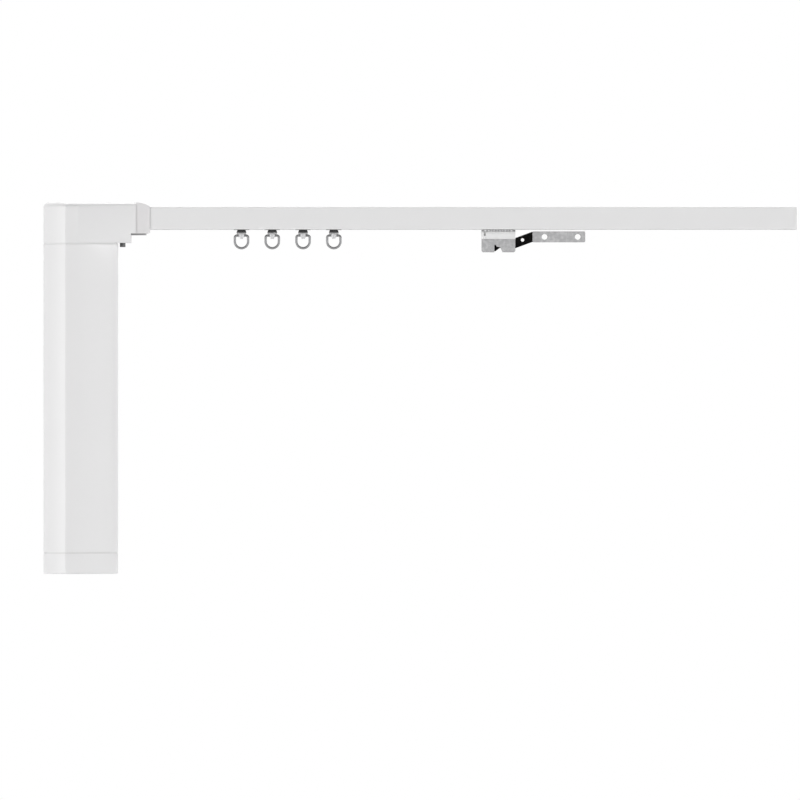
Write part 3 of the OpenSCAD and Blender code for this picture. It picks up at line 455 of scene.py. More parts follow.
# Painted shade and painted dark reflection: near black with almost no gloss, standing in for the
# shaded bend of the arm's metal.
CRANK_PAINTED_SHADE = Finish(
    "crank_painted_shade", "black_steel", (0.003, 0.003, 0.003), (0.004, 0.004, 0.004), (0.52, 0.64),
    bump=0.08, worn=(0.04, 0.04, 0.04), wear=0.12, specular=0.01,
)
MACHINED_STEEL = Finish(
    "machined_steel", "machined_steel", (0.52, 0.52, 0.52), (0.44, 0.44, 0.44), (0.24, 0.40),
    surface=Surface.DRAWN, scale=1800.0, metallic=1.0,
)
DARK_FERRITE = Finish(
    "dark_ferrite", "magnet", (0.045, 0.045, 0.047), (0.07, 0.07, 0.07), (0.6, 0.75), bump=0.1,
)
BOARD_MASK = Finish(
    "board_mask", "board_green", (0.015, 0.16, 0.06), (0.02, 0.21, 0.08), (0.25, 0.35), bump=0.03,
)
BRASS_PIN = Finish(
    "brass_pin", "brass_pin", (0.70, 0.58, 0.32), (0.62, 0.50, 0.27), (0.2, 0.3),
    bump=0.02, metallic=1.0,
)


class FinishBook:
    """Materials by finish, each built once."""

    def __init__(self) -> None:
        """Starts empty."""
        self._groups = ShaderGroups()
        self._made: dict[str, bpy.types.Material] = {}

    def material(self, finish: Finish) -> bpy.types.Material:
        """Gives a finish's material, building it the first time.

        Args:
            finish: Finish to look up.

        Returns:
            Its material.
        """
        if finish.name not in self._made:
            self._made[finish.name] = finish.material(self._groups)
        return self._made[finish.name]

    def paint(self, piece: bpy.types.Object, finish: Finish) -> None:
        """Puts one finish all over a piece.

        Args:
            piece: Object of the piece.
            finish: Finish to use.
        """
        piece.data.materials.clear()
        piece.data.materials.append(self.material(finish))

    def paint_nodes(self, finishes: dict[str, Finish]) -> None:
        """Paints the named CAD nodes, which stay as they are."""
        for node, finish in finishes.items():
            self.paint(frame["nodes"][node], finish)


def new_piece(name: str, mesh: bpy.types.Mesh) -> bpy.types.Object:
    """Puts a mesh into the scene as an object at the origin.

    Args:
        name: Name of the piece.
        mesh: Its mesh, in place.

    Returns:
        The new object.
    """
    piece = bpy.data.objects.new(name, mesh)
    bpy.context.scene.collection.objects.link(piece)
    return piece


def as_plain_mesh(piece: bpy.types.Object) -> bpy.types.Object:
    """Replaces a piece's modifiers by the mesh that they make.

    Args:
        piece: Object with modifiers.

    Returns:
        The same object, with a plain mesh.
    """
    graph = bpy.context.evaluated_depsgraph_get()
    made = bpy.data.meshes.new_from_object(piece.evaluated_get(graph), depsgraph=graph)
    piece.modifiers.clear()
    piece.data = made
    return piece


def loose_boxes(node: str) -> list[tuple[Vector, Vector]]:
    """Finds the box of each separate solid of a CAD node.

    Args:
        node: Name of the node.

    Returns:
        Lowest and highest corner of each solid, sorted by place.
    """
    work = bmesh.new()
    work.from_mesh(frame["nodes"][node].data)
    bmesh.ops.remove_doubles(work, verts=work.verts, dist=MERGE_DISTANCE)
    left, boxes = set(work.verts), []
    while left:
        todo = [left.pop()]
        points = []
        while todo:
            vert = todo.pop()
            points.append(vert.co.copy())
            for edge in vert.link_edges:
                other = edge.other_vert(vert)
                if other in left:
                    left.remove(other)
                    todo.append(other)
        low = Vector([min(p[i] for p in points) for i in range(3)])
        high = Vector([max(p[i] for p in points) for i in range(3)])
        boxes.append((low, high))
    work.free()
    return sorted(boxes, key=lambda b: tuple(round(v, 6) for v in b[0]))


def trim_piece(
    name: str, work: bmesh.types.BMesh, finish: Finish, body: str, book: FinishBook
) -> bpy.types.Object:
    """Rounds the sharp edges of a small trim piece and puts it on a body.

    Args:
        name: Name of the piece.
        work: Its mesh with sharp edges, which is used up.
        finish: Finish all over it.
        body: Body that it rides on.
        book: Materials.

    Returns:
        The finished piece.
    """
    sharp = [e for e in work.edges if e.calc_face_angle(0.0) > TRIM_SHARP]
    bmesh.ops.bevel(
        work, geom=sharp, offset=TRIM_EDGE, segments=ROUND_SEGMENTS, profile=0.5,
        affect="EDGES", clamp_overlap=True,
    )
    mesh = bpy.data.meshes.new(name)
    work.to_mesh(mesh)
    work.free()
    mesh.shade_smooth()
    mesh.set_sharp_from_angle(angle=TRIM_SMOOTH)
    piece = new_piece(name, mesh)
    book.paint(piece, finish)
    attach(piece, body)
    return piece


@dataclass
class SoftEdge:
    """Copy of a CAD node whose edges are slightly rounded.

    Attributes:
        node: Node that the copy stands for.
        body: Body that it rides on.
        finish: Finish of the piece.
        width: Width of the rounding, in metres.
        flat: Largest angle between faces that become one, in degrees.
        angle: Smallest angle of an edge that is rounded, in degrees.
        smooth: Largest angle that is shaded smooth, in degrees.
    """

    node: str
    body: str
    finish: Finish
    width: float
    flat: float = 0.2
    angle: float = 40.0
    smooth: float = 32.0

    def build(self, book: FinishBook) -> bpy.types.Object:
        """Makes the rounded copy and hides the node.

        Args:
            book: Materials.

        Returns:
            The new piece.
        """
        mesh = frame["nodes"][self.node].data.copy()
        mesh.name = self.node + "_soft"
        normals = mesh.attributes.get("custom_normal")
        if normals is not None:
            mesh.attributes.remove(normals)
        work = bmesh.new()
        work.from_mesh(mesh)
        bmesh.ops.remove_doubles(work, verts=work.verts, dist=MERGE_DISTANCE)
        bmesh.ops.dissolve_limit(
            work, angle_limit=math.radians(self.flat), verts=work.verts, edges=work.edges
        )
        work.to_mesh(mesh)
        work.free()
        mesh.materials.clear()
        # Faces of the rounding get the second slot, until their points are marked.
        for _ in range(2):
            mesh.materials.append(book.material(self.finish))
        mesh.shade_smooth()
        mesh.set_sharp_from_angle(angle=math.radians(self.smooth))
        piece = new_piece(self.node + "_soft", mesh)
        bevel = piece.modifiers.new("rounding", "BEVEL")
        bevel.width = self.width
        bevel.segments = ROUND_SEGMENTS
        bevel.limit_method = "ANGLE"
        bevel.angle_limit = math.radians(self.angle)
        bevel.use_clamp_overlap = True
        bevel.harden_normals = True
        bevel.material = 1
        as_plain_mesh(piece)
        self._mark_edges(piece.data)
        book.paint(piece, self.finish)
        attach(piece, self.body)
        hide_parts(self.node)
        return piece

    @staticmethod
    def _mark_edges(mesh: bpy.types.Mesh) -> None:
        """Writes the edge attribute on the rounding's points and frees its slot.

        Args:
            mesh: Mesh after the rounding.
        """
        marks = mesh.attributes.new("edge", "FLOAT", "POINT")
        values = [0.0] * len(mesh.vertices)
        for face in mesh.polygons:
            if face.material_index == 1:
                for index in face.vertices:
                    values[index] = 1.0
        marks.data.foreach_set("value", values)
        mesh.polygons.foreach_set("material_index", [0] * len(mesh.polygons))


class GeometryTree:
    """A Geometry Nodes tree with named sizes and a material."""

    def __init__(self, name: str, sizes: Sequence[str]) -> None:
        """Makes the tree and its sockets.

        Args:
            name: Name of the tree.
            sizes: Names of the number inputs.
        """
        self.tree = bpy.data.node_groups.new(name, "GeometryNodeTree")
        kinds = {**{s: "NodeSocketFloat" for s in sizes}, "Material": "NodeSocketMaterial"}
        face = self.tree.interface
        face.new_socket("Geometry", in_out="INPUT", socket_type="NodeSocketGeometry")
        self.ids = {
            label: face.new_socket(label, in_out="INPUT", socket_type=kind).identifier
            for label, kind in kinds.items()
        }
        face.new_socket("Geometry", in_out="OUTPUT", socket_type="NodeSocketGeometry")
        self.graph = Graph(self.tree)
        self.given = self.graph.add("NodeGroupInput").outputs

    def end(self, geometry: Socket) -> None:
        """Realizes the instances, sets the material and ends the tree.

        Args:
            geometry: Last geometry socket.
        """
        real = self.graph.add("GeometryNodeRealizeInstances", {0: geometry})
        paint = self.graph.add(
            "GeometryNodeSetMaterial",
            {"Geometry": real.outputs[0], "Material": self.given["Material"]},
        )
        self.graph.add("NodeGroupOutput", {0: paint.outputs[0]})

    def run(self, piece: bpy.types.Object, values: dict[str, object]) -> bpy.types.Object:
        """Runs the tree on a piece and leaves a plain mesh.

        Args:
            piece: Object whose mesh goes in.
            values: Values of the inputs, by name.

        Returns:
            The same object.
        """
        modifier = piece.modifiers.new(self.tree.name, "NODES")
        modifier.node_group = self.tree
        for name, value in values.items():
            modifier[self.ids[name]] = value
        return as_plain_mesh(piece)


@dataclass
class ScrewSet:
    """Screws with a cross recess, one at each seat, with a pan head or a countersunk one.

    Attributes:
        name: Name of the piece.
        node: CAD node with the plain screws.
        body: Body that they ride on.
        sink: Height of the countersunk heads.
        head_radius: Radius of the heads.
        head_height: Height of the pan heads.
        shank_radius: Radius of the shanks.
        recess_width: Width of the cross recess.
        recess_depth: Depth of the cross recess.
        seats: Underside of each pan head or face of each countersunk one, in metres.
        turns: Rotation of each screw, in radians.
        shanks: Length of each shank, in metres.
        sunk: Whether each head is countersunk.
        rim_share: Radius of a pan head's face, as a share of the head's radius.
        cross_share: Length of the recess, as a share of the head's radius.
        smooth: Largest angle that is shaded smooth, in radians.
    """

    name: str
    node: str
    body: str
    sink: float = 1.1 * MM
    head_radius: float = 2.2 * MM
    head_height: float = 1.1 * MM
    shank_radius: float = 1.2 * MM
    recess_width: float = 0.55 * MM
    recess_depth: float = 0.6 * MM
    seats: list[Point] = field(default_factory=list)
    turns: list[Point] = field(default_factory=list)
    shanks: list[float] = field(default_factory=list)
    sunk: list[bool] = field(default_factory=list)
    rim_share: ClassVar[float] = 0.84
    cross_share: ClassVar[float] = 1.15
    smooth: ClassVar[float] = math.radians(30.0)

    def add(self, seat: Point, turn: Point, shank: float, sunk: bool = False) -> None:
        """Adds one screw to the set.

        Args:
            seat: Place of its head.
            turn: Its rotation.
            shank: Length of its shank.
            sunk: Whether its head is countersunk.
        """
        self.seats.append(seat)
        self.turns.append(turn)
        self.shanks.append(shank)
        self.sunk.append(sunk)

    @classmethod
    def tree(cls) -> GeometryTree:
        """Builds the tree that puts a screw on every point.

        Returns:
            The tree, with its sizes as inputs.
        """
        made = GeometryTree(
            "screw_set",
            ("Head Radius", "Head Height", "Sink", "Shank Radius", "Recess Width", "Recess Depth"),
        )
        graph, given = made.graph, made.given
        radius, height = given["Head Radius"], given["Head Height"]
        kinds = {"turn": "FLOAT_VECTOR", "sunk": "BOOLEAN", "shank": "FLOAT"}
        turn, sunk, length = (
            graph.add("GeometryNodeInputNamedAttribute", {"Name": n}, data_type=k).outputs[0]
            for n, k in kinds.items()
        )
        euler = graph.add("FunctionNodeEulerToRotation", {0: turn})
        pan = graph.add("FunctionNodeBooleanMath", {0: sunk}, operation="NOT")
        rim = graph.math("MULTIPLY", radius, cls.rim_share)
        drop = graph.add("ShaderNodeCombineXYZ", {"Z": graph.math("MULTIPLY", height, -1.0)})
        flush = graph.add("ShaderNodeCombineXYZ")
        sunk_cone = (radius, given["Shank Radius"], given["Sink"])
        pan_head = cls._head(graph, given, (rim, radius, height), drop.outputs[0])
        sunk_head = cls._head(graph, given, sunk_cone, flush.outputs[0])
        # The shank is one metre long from the seat, and each screw scales it to its length.
        stretch = graph.add("ShaderNodeCombineXYZ", {"X": 1.0, "Y": 1.0, "Z": length})
        shank = graph.add(
            "GeometryNodeMeshCylinder",
            {"Vertices": 24, "Depth": 1.0, "Radius": given["Shank Radius"]},
        )
        lift = graph.add(
            "GeometryNodeTransform",
            {"Geometry": shank.outputs["Mesh"], "Translation": (0.0, 0.0, 0.5)},
        )
        points, rotation = given["Geometry"], euler.outputs[0]
        whole = graph.add("GeometryNodeJoinGeometry")
        for shape, name, value in (
            (pan_head, "Selection", pan.outputs[0]),
            (sunk_head, "Selection", sunk),
            (lift.outputs[0], "Scale", stretch.outputs[0]),
        ):
            spread = graph.add(
                "GeometryNodeInstanceOnPoints",
                {"Points": points, "Instance": shape, "Rotation": rotation, name: value},
            )
            graph.link(spread.outputs[0], whole.inputs[0])
        made.end(whole.outputs[0])
        return made

    @classmethod
    def _head(
        cls,
        graph: Graph,
        given: bpy.types.bpy_prop_collection,
        cone: tuple[Socket, Socket, Socket],
        face: Socket,
    ) -> Socket:
        """Makes a head with a cross recess in its face.

        Args:
            graph: Graph of the screws.
            given: Inputs of the tree.
            cone: Lower radius, upper radius and height of the head.
            face: Place of the head's face.

        Returns:
            Socket of the head's mesh.
        """
        sizes = dict(zip(("Radius Bottom", "Radius Top", "Depth"), cone))
        head = graph.add("GeometryNodeMeshCone", {"Vertices": 40, **sizes})
        place = graph.add(
            "GeometryNodeTransform", {"Geometry": head.outputs["Mesh"], "Translation": face}
        )
        cut = graph.add(
            "GeometryNodeMeshBoolean",
            {"Mesh 1": place.outputs[0]},
            operation="DIFFERENCE",
            solver="EXACT",
        )
        span = graph.math("MULTIPLY", given["Head Radius"], cls.cross_share)
        # Each bar is centred on the face, so it cuts half of its height.
        deep = graph.math("MULTIPLY", given["Recess Depth"], 2.0)
        for along, across in (("X", "Y"), ("Y", "X")):
            size = graph.add(
                "ShaderNodeCombineXYZ", {along: span, across: given["Recess Width"], "Z": deep}
            )
            bar = graph.add("GeometryNodeMeshCube", {"Size": size.outputs[0]})
            sink = graph.add(
                "GeometryNodeTransform", {"Geometry": bar.outputs["Mesh"], "Translation": face}
            )
            graph.link(sink.outputs[0], cut.inputs["Mesh 2"])
        return cut.outputs["Mesh"]

    def build(self, book: FinishBook, tree: GeometryTree) -> bpy.types.Object:
        """Makes the screws and hides the plain ones.

        Args:
            book: Materials.
            tree: Tree from ScrewSet.tree.

        Returns:
            The piece with all the screws.
        """
        mesh = bpy.data.meshes.new(self.name)
        mesh.from_pydata(self.seats, [], [])
        turns = mesh.attributes.new("turn", "FLOAT_VECTOR", "POINT")
        turns.data.foreach_set("vector", [v for t in self.turns for v in t])
        mesh.attributes.new("shank", "FLOAT", "POINT").data.foreach_set("value", self.shanks)
        mesh.attributes.new("sunk", "BOOLEAN", "POINT").data.foreach_set("value", self.sunk)
        piece = tree.run(
            new_piece(self.name, mesh),
            {
                "Head Radius": self.head_radius,
                "Head Height": self.head_height,
                "Sink": self.sink,
                "Shank Radius": self.shank_radius,
                "Recess Width": self.recess_width,
                "Recess Depth": self.recess_depth,
                "Material": book.material(ZINC_SCREW),
            },
        )
        book.paint(piece, ZINC_SCREW)
        piece.data.shade_smooth()
        piece.data.set_sharp_from_angle(angle=self.smooth)
        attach(piece, self.body)
        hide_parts(self.node)
        return piece


@dataclass
class CoilSpring:
    """Coil spring between the release button's rim and the bridge above it.

    Attributes:
        turns: Number of turns.
        wire: Radius of the wire.
    """

    turns: float = 5.5
    wire: float = 0.28 * MM

    def build(self, book: FinishBook) -> bpy.types.Object:
        """Makes the coil in the space of the plain spring.

        Args:
            book: Materials.

        Returns:
            The spring.
        """
        low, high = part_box("release_spring")
        made = GeometryTree("coil_spring", ("Turns", "Radius", "Height", "Wire"))
        graph, given = made.graph, made.given
        coil = graph.add(
            "GeometryNodeCurveSpiral",
            {
                "Resolution": 28,
                "Rotations": given["Turns"],
                "Start Radius": given["Radius"],
                "End Radius": given["Radius"],
                "Height": given["Height"],
            },
        )
        profile = graph.add(
            "GeometryNodeCurvePrimitiveCircle", {"Resolution": 10, "Radius": given["Wire"]}
        )
        sweep = graph.add(
            "GeometryNodeCurveToMesh",
            {"Curve": coil.outputs[0], "Profile Curve": profile.outputs[0], "Fill Caps": True},
        )
        made.end(sweep.outputs[0])
        piece = made.run(
            new_piece("release_coil", bpy.data.meshes.new("release_coil")),
            {
                "Turns": self.turns,
                "Radius": (high.x - low.x) / 2 - self.wire,
                "Height": high.z - low.z - 2 * self.wire,
                "Wire": self.wire,
                "Material": book.material(ZINC_SCREW),
            },
        )
        middle = (low + high) / 2
        piece.data.transform(Matrix.Translation((middle.x, middle.y, low.z + self.wire)))
        book.paint(piece, ZINC_SCREW)
        piece.data.shade_smooth()
        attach(piece, "track")
        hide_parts("release_spring")
        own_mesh(piece)
        return piece


@dataclass
class MotorCasing:
    """Tube, bottom cap, seams and power inlet of the motor.

    Attributes:
        edge: Width of the rounded edges.
    """

    edge: float = 0.3 * MM

    def build(self, book: FinishBook) -> list[str]:
        """Makes the soft-edged shells and inlet.

        Args:
            book: Materials.

        Returns:
            Names of the pieces.
        """
        shells = {"motor_tube": WHITE_SHELL, "bottom_cap": WHITE_SHELL}
        soft = {**shells, "power_inlet": BLACK_MOULDED}
        return [SoftEdge(n, "track", f, self.edge).build(book).name for n, f in soft.items()]

    def dress(self, book: FinishBook) -> None:
        """Paints the nodes that stay."""
        book.paint_nodes({"seam_gaskets": SEAM_RUBBER, "inlet_pins": BRASS_PIN})


@dataclass
class DriveHead:
    """Housing, base, rail socket, lock plate, release button and pulley drive.

    Attributes:
        edge: Width of the rounded edges.
        socket_edge: Width of the rail socket's rounded edges.
        level: Largest difference of heights that count as one.
        twist: Turn from one screw's recess to the next, in degrees.
    """

    edge: float = 0.25 * MM
    socket_edge: float = 0.4 * MM
    level: float = 0.05 * MM
    twist: float = 37.0

    def build(self, book: FinishBook, screws: GeometryTree) -> list[str]:
        """Makes the soft-edged pieces, the case screws and the spring.

        Args:
            book: Materials.
            screws: Tree for the screws.

        Returns:
            Names of the pieces.
        """
        made = [
            SoftEdge("head_housing", "track", WHITE_SHELL, self.edge).build(book),
            SoftEdge("head_base", "track", WHITE_SHELL, self.edge).build(book),
            SoftEdge("rail_socket", "track", SOCKET_SHELL, self.socket_edge).build(book),
            SoftEdge("rail_lock_plate", "track", GREY_MOULDED, self.edge).build(book),
            SoftEdge("release_button", "button", DARK_MOULDED, self.edge).build(book),
            self._case_screws().build(book, screws),
            CoilSpring().build(book),
        ]
        return [p.name for p in made]

    def _case_screws(self) -> ScrewSet:
        """Reads the places of the case screws from their node's solids.

        Returns:
            The screws of the base, the lock plate and the end cap.
        """
        plate_low, plate_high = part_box("rail_lock_plate")
        sink = plate_high.z - plate_low.z
        made = ScrewSet("case_screw_set", "case_screws", "track", sink=sink)
        for low, high in loose_boxes("case_screws"):
            size, middle = high - low, (low + high) / 2
            turn = (0.0, 0.0, math.radians(self.twist * (1 + len(made.seats))))
            if abs(low.z - plate_low.z) < self.level:
                made.add((middle.x, middle.y, low.z), turn, size.z, sunk=True)
            elif size.x > size.z:
                seat = (high.x - made.head_height, middle.y, middle.z)
                made.add(seat, (0.0, -math.pi / 2, 0.0), size.x - made.head_height)
            else:
                seat = (middle.x, middle.y, low.z + made.head_height)
                made.add(seat, turn, size.z - made.head_height)
        return made

    def dress(self, book: FinishBook) -> None:
        """Paints the nodes that stay."""
        book.paint_nodes(
            {
                "upper_bearing": MACHINED_STEEL,
                "lower_bearing": MACHINED_STEEL,
                "drive_pulley": WHEEL_PLASTIC,
                "drive_coupling": DARK_MOULDED,
            }
        )


@dataclass
class TrackRail:
    """Rail with its end cap, return block, belt and return pulley.

    Attributes:
        edge: Width of the end cap's rounded edges.
    """

    edge: float = 0.3 * MM

    def build(self, book: FinishBook) -> list[str]:
        """Makes the soft-edged end cap and gives its name."""
        return [SoftEdge("rail_end_cap", "track", RAIL_COAT, self.edge).build(book).name]

    def dress(self, book: FinishBook) -> None:
        """Paints the rail and what is inside it."""
        book.paint_nodes(
            {
                "rail": RAIL_COAT,
                "return_block": DARK_MOULDED,
                "idler_axle": MACHINED_STEEL,
                "idler_pulley": WHEEL_PLASTIC,
                "drive_belt": BELT_RUBBER,
            }
        )


@dataclass
class Gearmotor:
    """Motor, gearbox and control board inside the tube.

    Attributes:
        planets: Number of planet gears.
    """

    planets: int = 3

    def dress(self, book: FinishBook) -> None:
        """Paints every node of the motor."""
        gears = {f"planet_gear_{k}": MACHINED_STEEL for k in range(1, self.planets + 1)}
        book.paint_nodes(
            {
                "motor_mount": DARK_MOULDED,
                "gearbox_ring": MACHINED_STEEL,
                "motor_can": ZINC_SCREW,
                "stator_magnets": DARK_FERRITE,
                "motor_damper": BELT_RUBBER,
                "rotor": MACHINED_STEEL,
                "planet_carrier": MACHINED_STEEL,
                **gears,
                "control_board": BOARD_MASK,
                "board_parts": DARK_MOULDED,
            }
        )


@dataclass
class BeltCarriage:
    """Carriage under the rail with its hook plate, crank and strap.

    Attributes:
        edge: Width of the rounded edges.
        pad: Size of the glide strip's end pads.
        first_turn: Turn of the first screw's recess, in radians.
    """

    edge: float = 0.2 * MM
    pad: Point = (2.1 * MM, 0.35 * MM, 0.95 * MM)
    first_turn: float = 0.4

    def build(self, book: FinishBook, screws: GeometryTree) -> list[str]:
        """Makes the soft-edged pieces, the screws and the strip's end pads.

        Args:
            book: Materials.
            screws: Tree for the screws.

        Returns:
            Names of the pieces.
        """
        soft = {
            "glide_strip": PALE_STRIP,
            # The saddle's darker white is painted shade.
            "carriage_saddle": SHADED_SADDLE,
            "hook_plate": ZINC_SHEET,
            # The crank's near black is painted shade.
            "arm_crank": CRANK_PAINTED_SHADE,
            "arm_strap": ZINC_SHEET,
        }
        made = [SoftEdge(n, "carriage", f, self.edge).build(book) for n, f in soft.items()]
        saddle = ScrewSet("saddle_screw_set", "saddle_screws", "carriage")
        for low, high in loose_boxes("saddle_screws"):
            middle = (low + high) / 2
            turn = (0.0, 0.0, self.first_turn + len(saddle.seats))
            seat = (middle.x, middle.y, low.z + saddle.head_height)
            saddle.add(seat, turn, high.z - low.z - saddle.head_height)
        made += [saddle.build(book, screws), self._end_pads(book)]
        return [p.name for p in made]

    def _end_pads(self, book: FinishBook) -> bpy.types.Object:
        """Makes the grey pads set into both ends of the glide strip's front face.

        Args:
            book: Materials.

        Returns:
            The two pads as one piece.
        """
        low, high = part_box("glide_strip")
        work = bmesh.new()
        for x in (low.x + self.pad[0] / 2, high.x - self.pad[0] / 2):
            place = Matrix.Translation((x, low.y, (low.z + high.z) / 2))
            matrix = place @ Matrix.Diagonal((*self.pad, 1.0))
            bmesh.ops.create_cube(work, size=1.0, matrix=matrix)
        return trim_piece("strip_end_pads", work, GREY_MOULDED, "carriage", book)

    def dress(self, book: FinishBook) -> None:
        """Paints the nodes that stay."""
        book.paint_nodes(
            {
                "carriage_frame": DARK_MOULDED,
                "belt_clamp": DARK_MOULDED,
                "carriage_wheels_1": WHEEL_PLASTIC,
                "carriage_wheels_2": WHEEL_PLASTIC,
            }
        )


@dataclass
class RingGlider:
    """Glider with its truck, wheels, swivel stem and wire ring.

    Attributes:
        number: Number of the glider, from the motor's end.
        edge: Width of the truck's rounded edges.
        collar: Radius of the collar on the stem.
        sides: Number of the collar's sides.
        gap: Room above and below the collar.
    """

    number: int
    edge: float = 0.15 * MM
    collar: float = 3.4 * MM
    sides: int = 48
    gap: float = 0.1 * MM

    def build(self, book: FinishBook) -> list[str]:
        """Makes the soft-edged truck and the stem's collar.

        Args:
            book: Materials.

        Returns:
            Names of the pieces.
        """
        node, body = f"glider_truck_{self.number}", f"glider_{self.number}"
        truck = SoftEdge(node, body, BLACK_MOULDED, self.edge)
        return [truck.build(book).name, self._collar(book).name]

    def _collar(self, book: FinishBook) -> bpy.types.Object:
        """Makes the collar between the truck's flange and the ring, in a grey that is partly
        painted shade.

        Args:
            book: Materials.

        Returns:
            The collar, which turns with the stem.
        """
        low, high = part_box(f"glider_swivel_{self.number}")
        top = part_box(f"glider_truck_{self.number}")[0].z - self.gap
        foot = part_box(f"glider_ring_{self.number}")[1].z + self.gap
        middle = Vector(((low.x + high.x) / 2, (low.y + high.y) / 2, (top + foot) / 2))
        work = bmesh.new()
        bmesh.ops.create_cone(
            work, cap_ends=True, segments=self.sides, radius1=self.collar, radius2=self.collar,
            depth=top - foot, matrix=Matrix.Translation(middle),
        )
        name, body = f"swivel_collar_{self.number}", f"swivel_{self.number}"
        return trim_piece(name, work, COLLAR_GREY_AND_SHADE, body, book)

    def dress(self, book: FinishBook) -> None:
        """Paints the nodes that stay."""
        book.paint_nodes(
            {
                f"glider_wheels_{self.number}": WHEEL_PLASTIC,
                f"glider_swivel_{self.number}": GREY_STEM,
                f"glider_ring_{self.number}": NICKEL_WIRE,
            }
        )


@dataclass(frozen=True)
class Softbox:
    """One rectangular studio lamp.

    Attributes:
        name: Name of the lamp.
        place: Where it stands, in metres.
        size: Width and height, in metres.
        power: Power in watts.
    """

    name: str
    place: Point
    size: tuple[float, float]
    power: float

    def build(self, aim: Point) -> None:
        """Makes the lamp.

        Args:
            aim: Point that it faces.
        """
        data = bpy.data.lights.new(self.name, "AREA")
        data.shape = "RECTANGLE"
        data.size, data.size_y = self.size
        data.energy = self.power
        lamp = bpy.data.objects.new(self.name, data)
        bpy.context.scene.collection.objects.link(lamp)
        lamp.location = self.place
        way = Vector(aim) - Vector(self.place)
        lamp.rotation_euler = way.to_track_quat("-Z", "Y").to_euler()


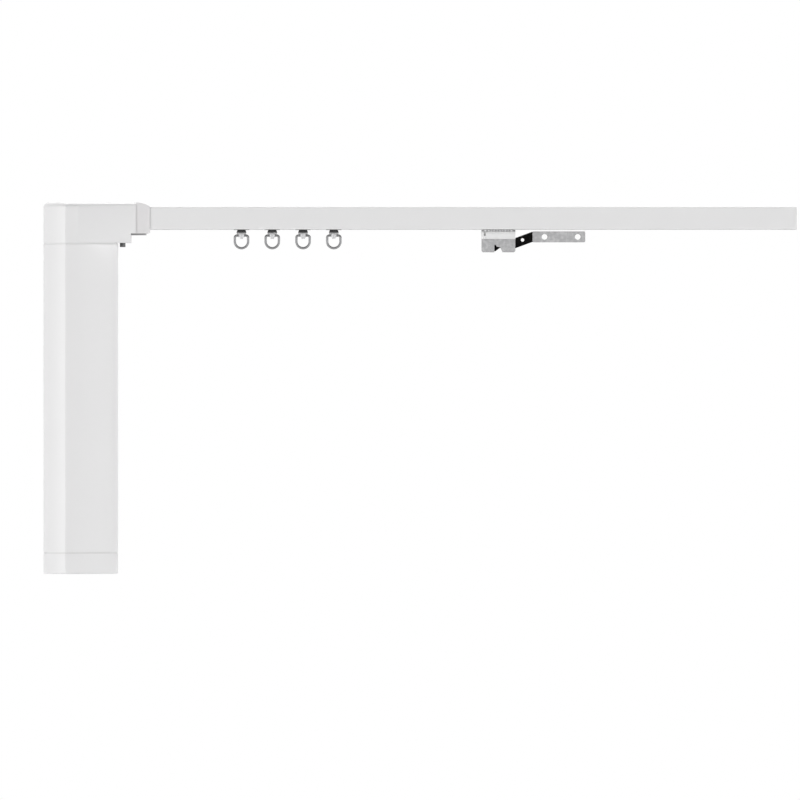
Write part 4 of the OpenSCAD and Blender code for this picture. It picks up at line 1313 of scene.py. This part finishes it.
@dataclass
class Studio:
    """Floor, light and camera.

    Attributes:
        distance: Distance of the camera from the rail's front.
        aim: Point at the middle of the picture, on the rail's front.
        width: Width of the view there.
        sensor: Width of the camera's sensor, in millimetres.
        reach: Greatest distance that the camera sees.
        floor: Height of the floor.
        floor_half: Half of the floor's width.
        floor_tone: Grey of the floor under the lamps.
        floor_glow: Grey of the floor as seen by itself.
        fill_light: Strength of the light from all round.
        lamp_aim: Point that the lamps face.
        lamps: The lamps.
    """

    distance: float = 12.0
    aim: Point = (-0.0512, -0.0165, -0.1378)
    width: float = 0.571
    sensor: float = 36.0
    reach: float = 50.0
    floor: float = -1.7
    floor_half: float = 30.0
    floor_tone: float = 0.60
    floor_glow: float = 0.94
    fill_light: float = 0.15
    lamp_aim: Point = (-0.2012, -0.0165, -0.1378)
    lamps: tuple[Softbox, ...] = (
        Softbox("left_softbox", (-4.25, -2.13, -0.16), (1.5, 2.6), 149.0),
        Softbox("right_softbox", (4.45, -3.71, -0.16), (3.2, 2.6), 209.0),
        Softbox("side_softbox", (3.58, 1.02, -0.16), (1.6, 2.0), 16.0),
        Softbox("back_softbox", (-0.1, 1.8, 3.4), (2.4, 2.0), 155.0),
    )

    def build(self) -> None:
        """Makes the camera, the floor, the world and the lamps."""
        self._camera()
        self._floor()
        self._world()
        for lamp in self.lamps:
            lamp.build(self.lamp_aim)
        bpy.context.scene.view_settings.view_transform = "Standard"

    def _camera(self) -> None:
        """Makes the camera at the photograph's angle."""
        data = bpy.data.cameras.new("camera")
        data.sensor_width = self.sensor
        data.lens = self.sensor * self.distance / self.width
        data.clip_end = self.reach
        camera = bpy.data.objects.new("camera", data)
        bpy.context.scene.collection.objects.link(camera)
        camera.location = Vector(self.aim) - Vector((0.0, self.distance, 0.0))
        camera.rotation_euler = (math.pi / 2, 0.0, 0.0)
        bpy.context.scene.camera = camera

    def _floor(self) -> None:
        """Makes a wide pale floor that keeps the object's shadow and is clear from below."""
        mesh = bpy.data.meshes.new("floor")
        half = self.floor_half
        corners = ((-half, -half), (half, -half), (half, half), (-half, half))
        mesh.from_pydata([(x, y, self.floor) for x, y in corners], [], [(0, 1, 2, 3)])
        floor = new_piece("floor", mesh)
        made = bpy.data.materials.new("pale_floor")
        made.use_nodes = True
        made.node_tree.nodes.clear()
        graph = Graph(made.node_tree)
        paint = graph.add("ShaderNodeBsdfDiffuse", {"Color": (*[self.floor_tone] * 3, 1.0)})
        glow = graph.add(
            "ShaderNodeEmission",
            {"Color": (*[self.floor_glow] * 3, 1.0), "Strength": self._direct_rays(graph)},
        )
        both = graph.add("ShaderNodeAddShader", {0: paint.outputs[0], 1: glow.outputs[0]})
        below = graph.add("ShaderNodeNewGeometry").outputs["Backfacing"]
        clear = graph.add("ShaderNodeBsdfTransparent").outputs[0]
        pick = graph.add("ShaderNodeMixShader", {0: below, 1: both.outputs[0], 2: clear})
        graph.add("ShaderNodeOutputMaterial", {0: pick.outputs[0]})
        mesh.materials.append(made)

    @staticmethod
    def _direct_rays(graph: Graph) -> Socket:
        """Gives a mask of the rays that show the background itself.

        Args:
            graph: Graph of the floor or the world.

        Returns:
            Socket that is 1 for camera, glossy and transmission rays.
        """
        rays = graph.add("ShaderNodeLightPath").outputs
        seen = graph.math("MAXIMUM", rays["Is Camera Ray"], rays["Is Glossy Ray"])
        return graph.math("MAXIMUM", seen, rays["Is Transmission Ray"])

    def _world(self) -> None:
        """Makes a white background with softer light from all round."""
        world = bpy.data.worlds.new("studio")
        world.use_nodes = True
        world.node_tree.nodes.clear()
        graph = Graph(world.node_tree)
        shown = graph.add("ShaderNodeBackground", {"Color": WHITE, "Strength": 1.0})
        light = graph.add("ShaderNodeBackground", {"Color": WHITE, "Strength": self.fill_light})
        pick = graph.add(
            "ShaderNodeMixShader",
            {0: self._direct_rays(graph), 1: light.outputs[0], 2: shown.outputs[0]},
        )
        graph.add("ShaderNodeOutputWorld", {0: pick.outputs[0]})
        bpy.context.scene.world = world


def main() -> None:
    """Builds every sub-assembly in order."""
    logging.basicConfig(level=logging.INFO, format="%(name)s: %(message)s")
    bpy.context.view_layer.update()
    book = FinishBook()
    Studio().build()
    screws = ScrewSet.tree()
    casing, head, rail, carriage = MotorCasing(), DriveHead(), TrackRail(), BeltCarriage()
    gliders = [RingGlider(k) for k in range(1, GLIDER_COUNT + 1)]
    made = casing.build(book) + head.build(book, screws) + rail.build(book)
    made += carriage.build(book, screws)
    for glider in gliders:
        made += glider.build(book)
    for part in (casing, head, rail, Gearmotor(), carriage, *gliders):
        part.dress(book)


if __name__ == "__main__":
    main()
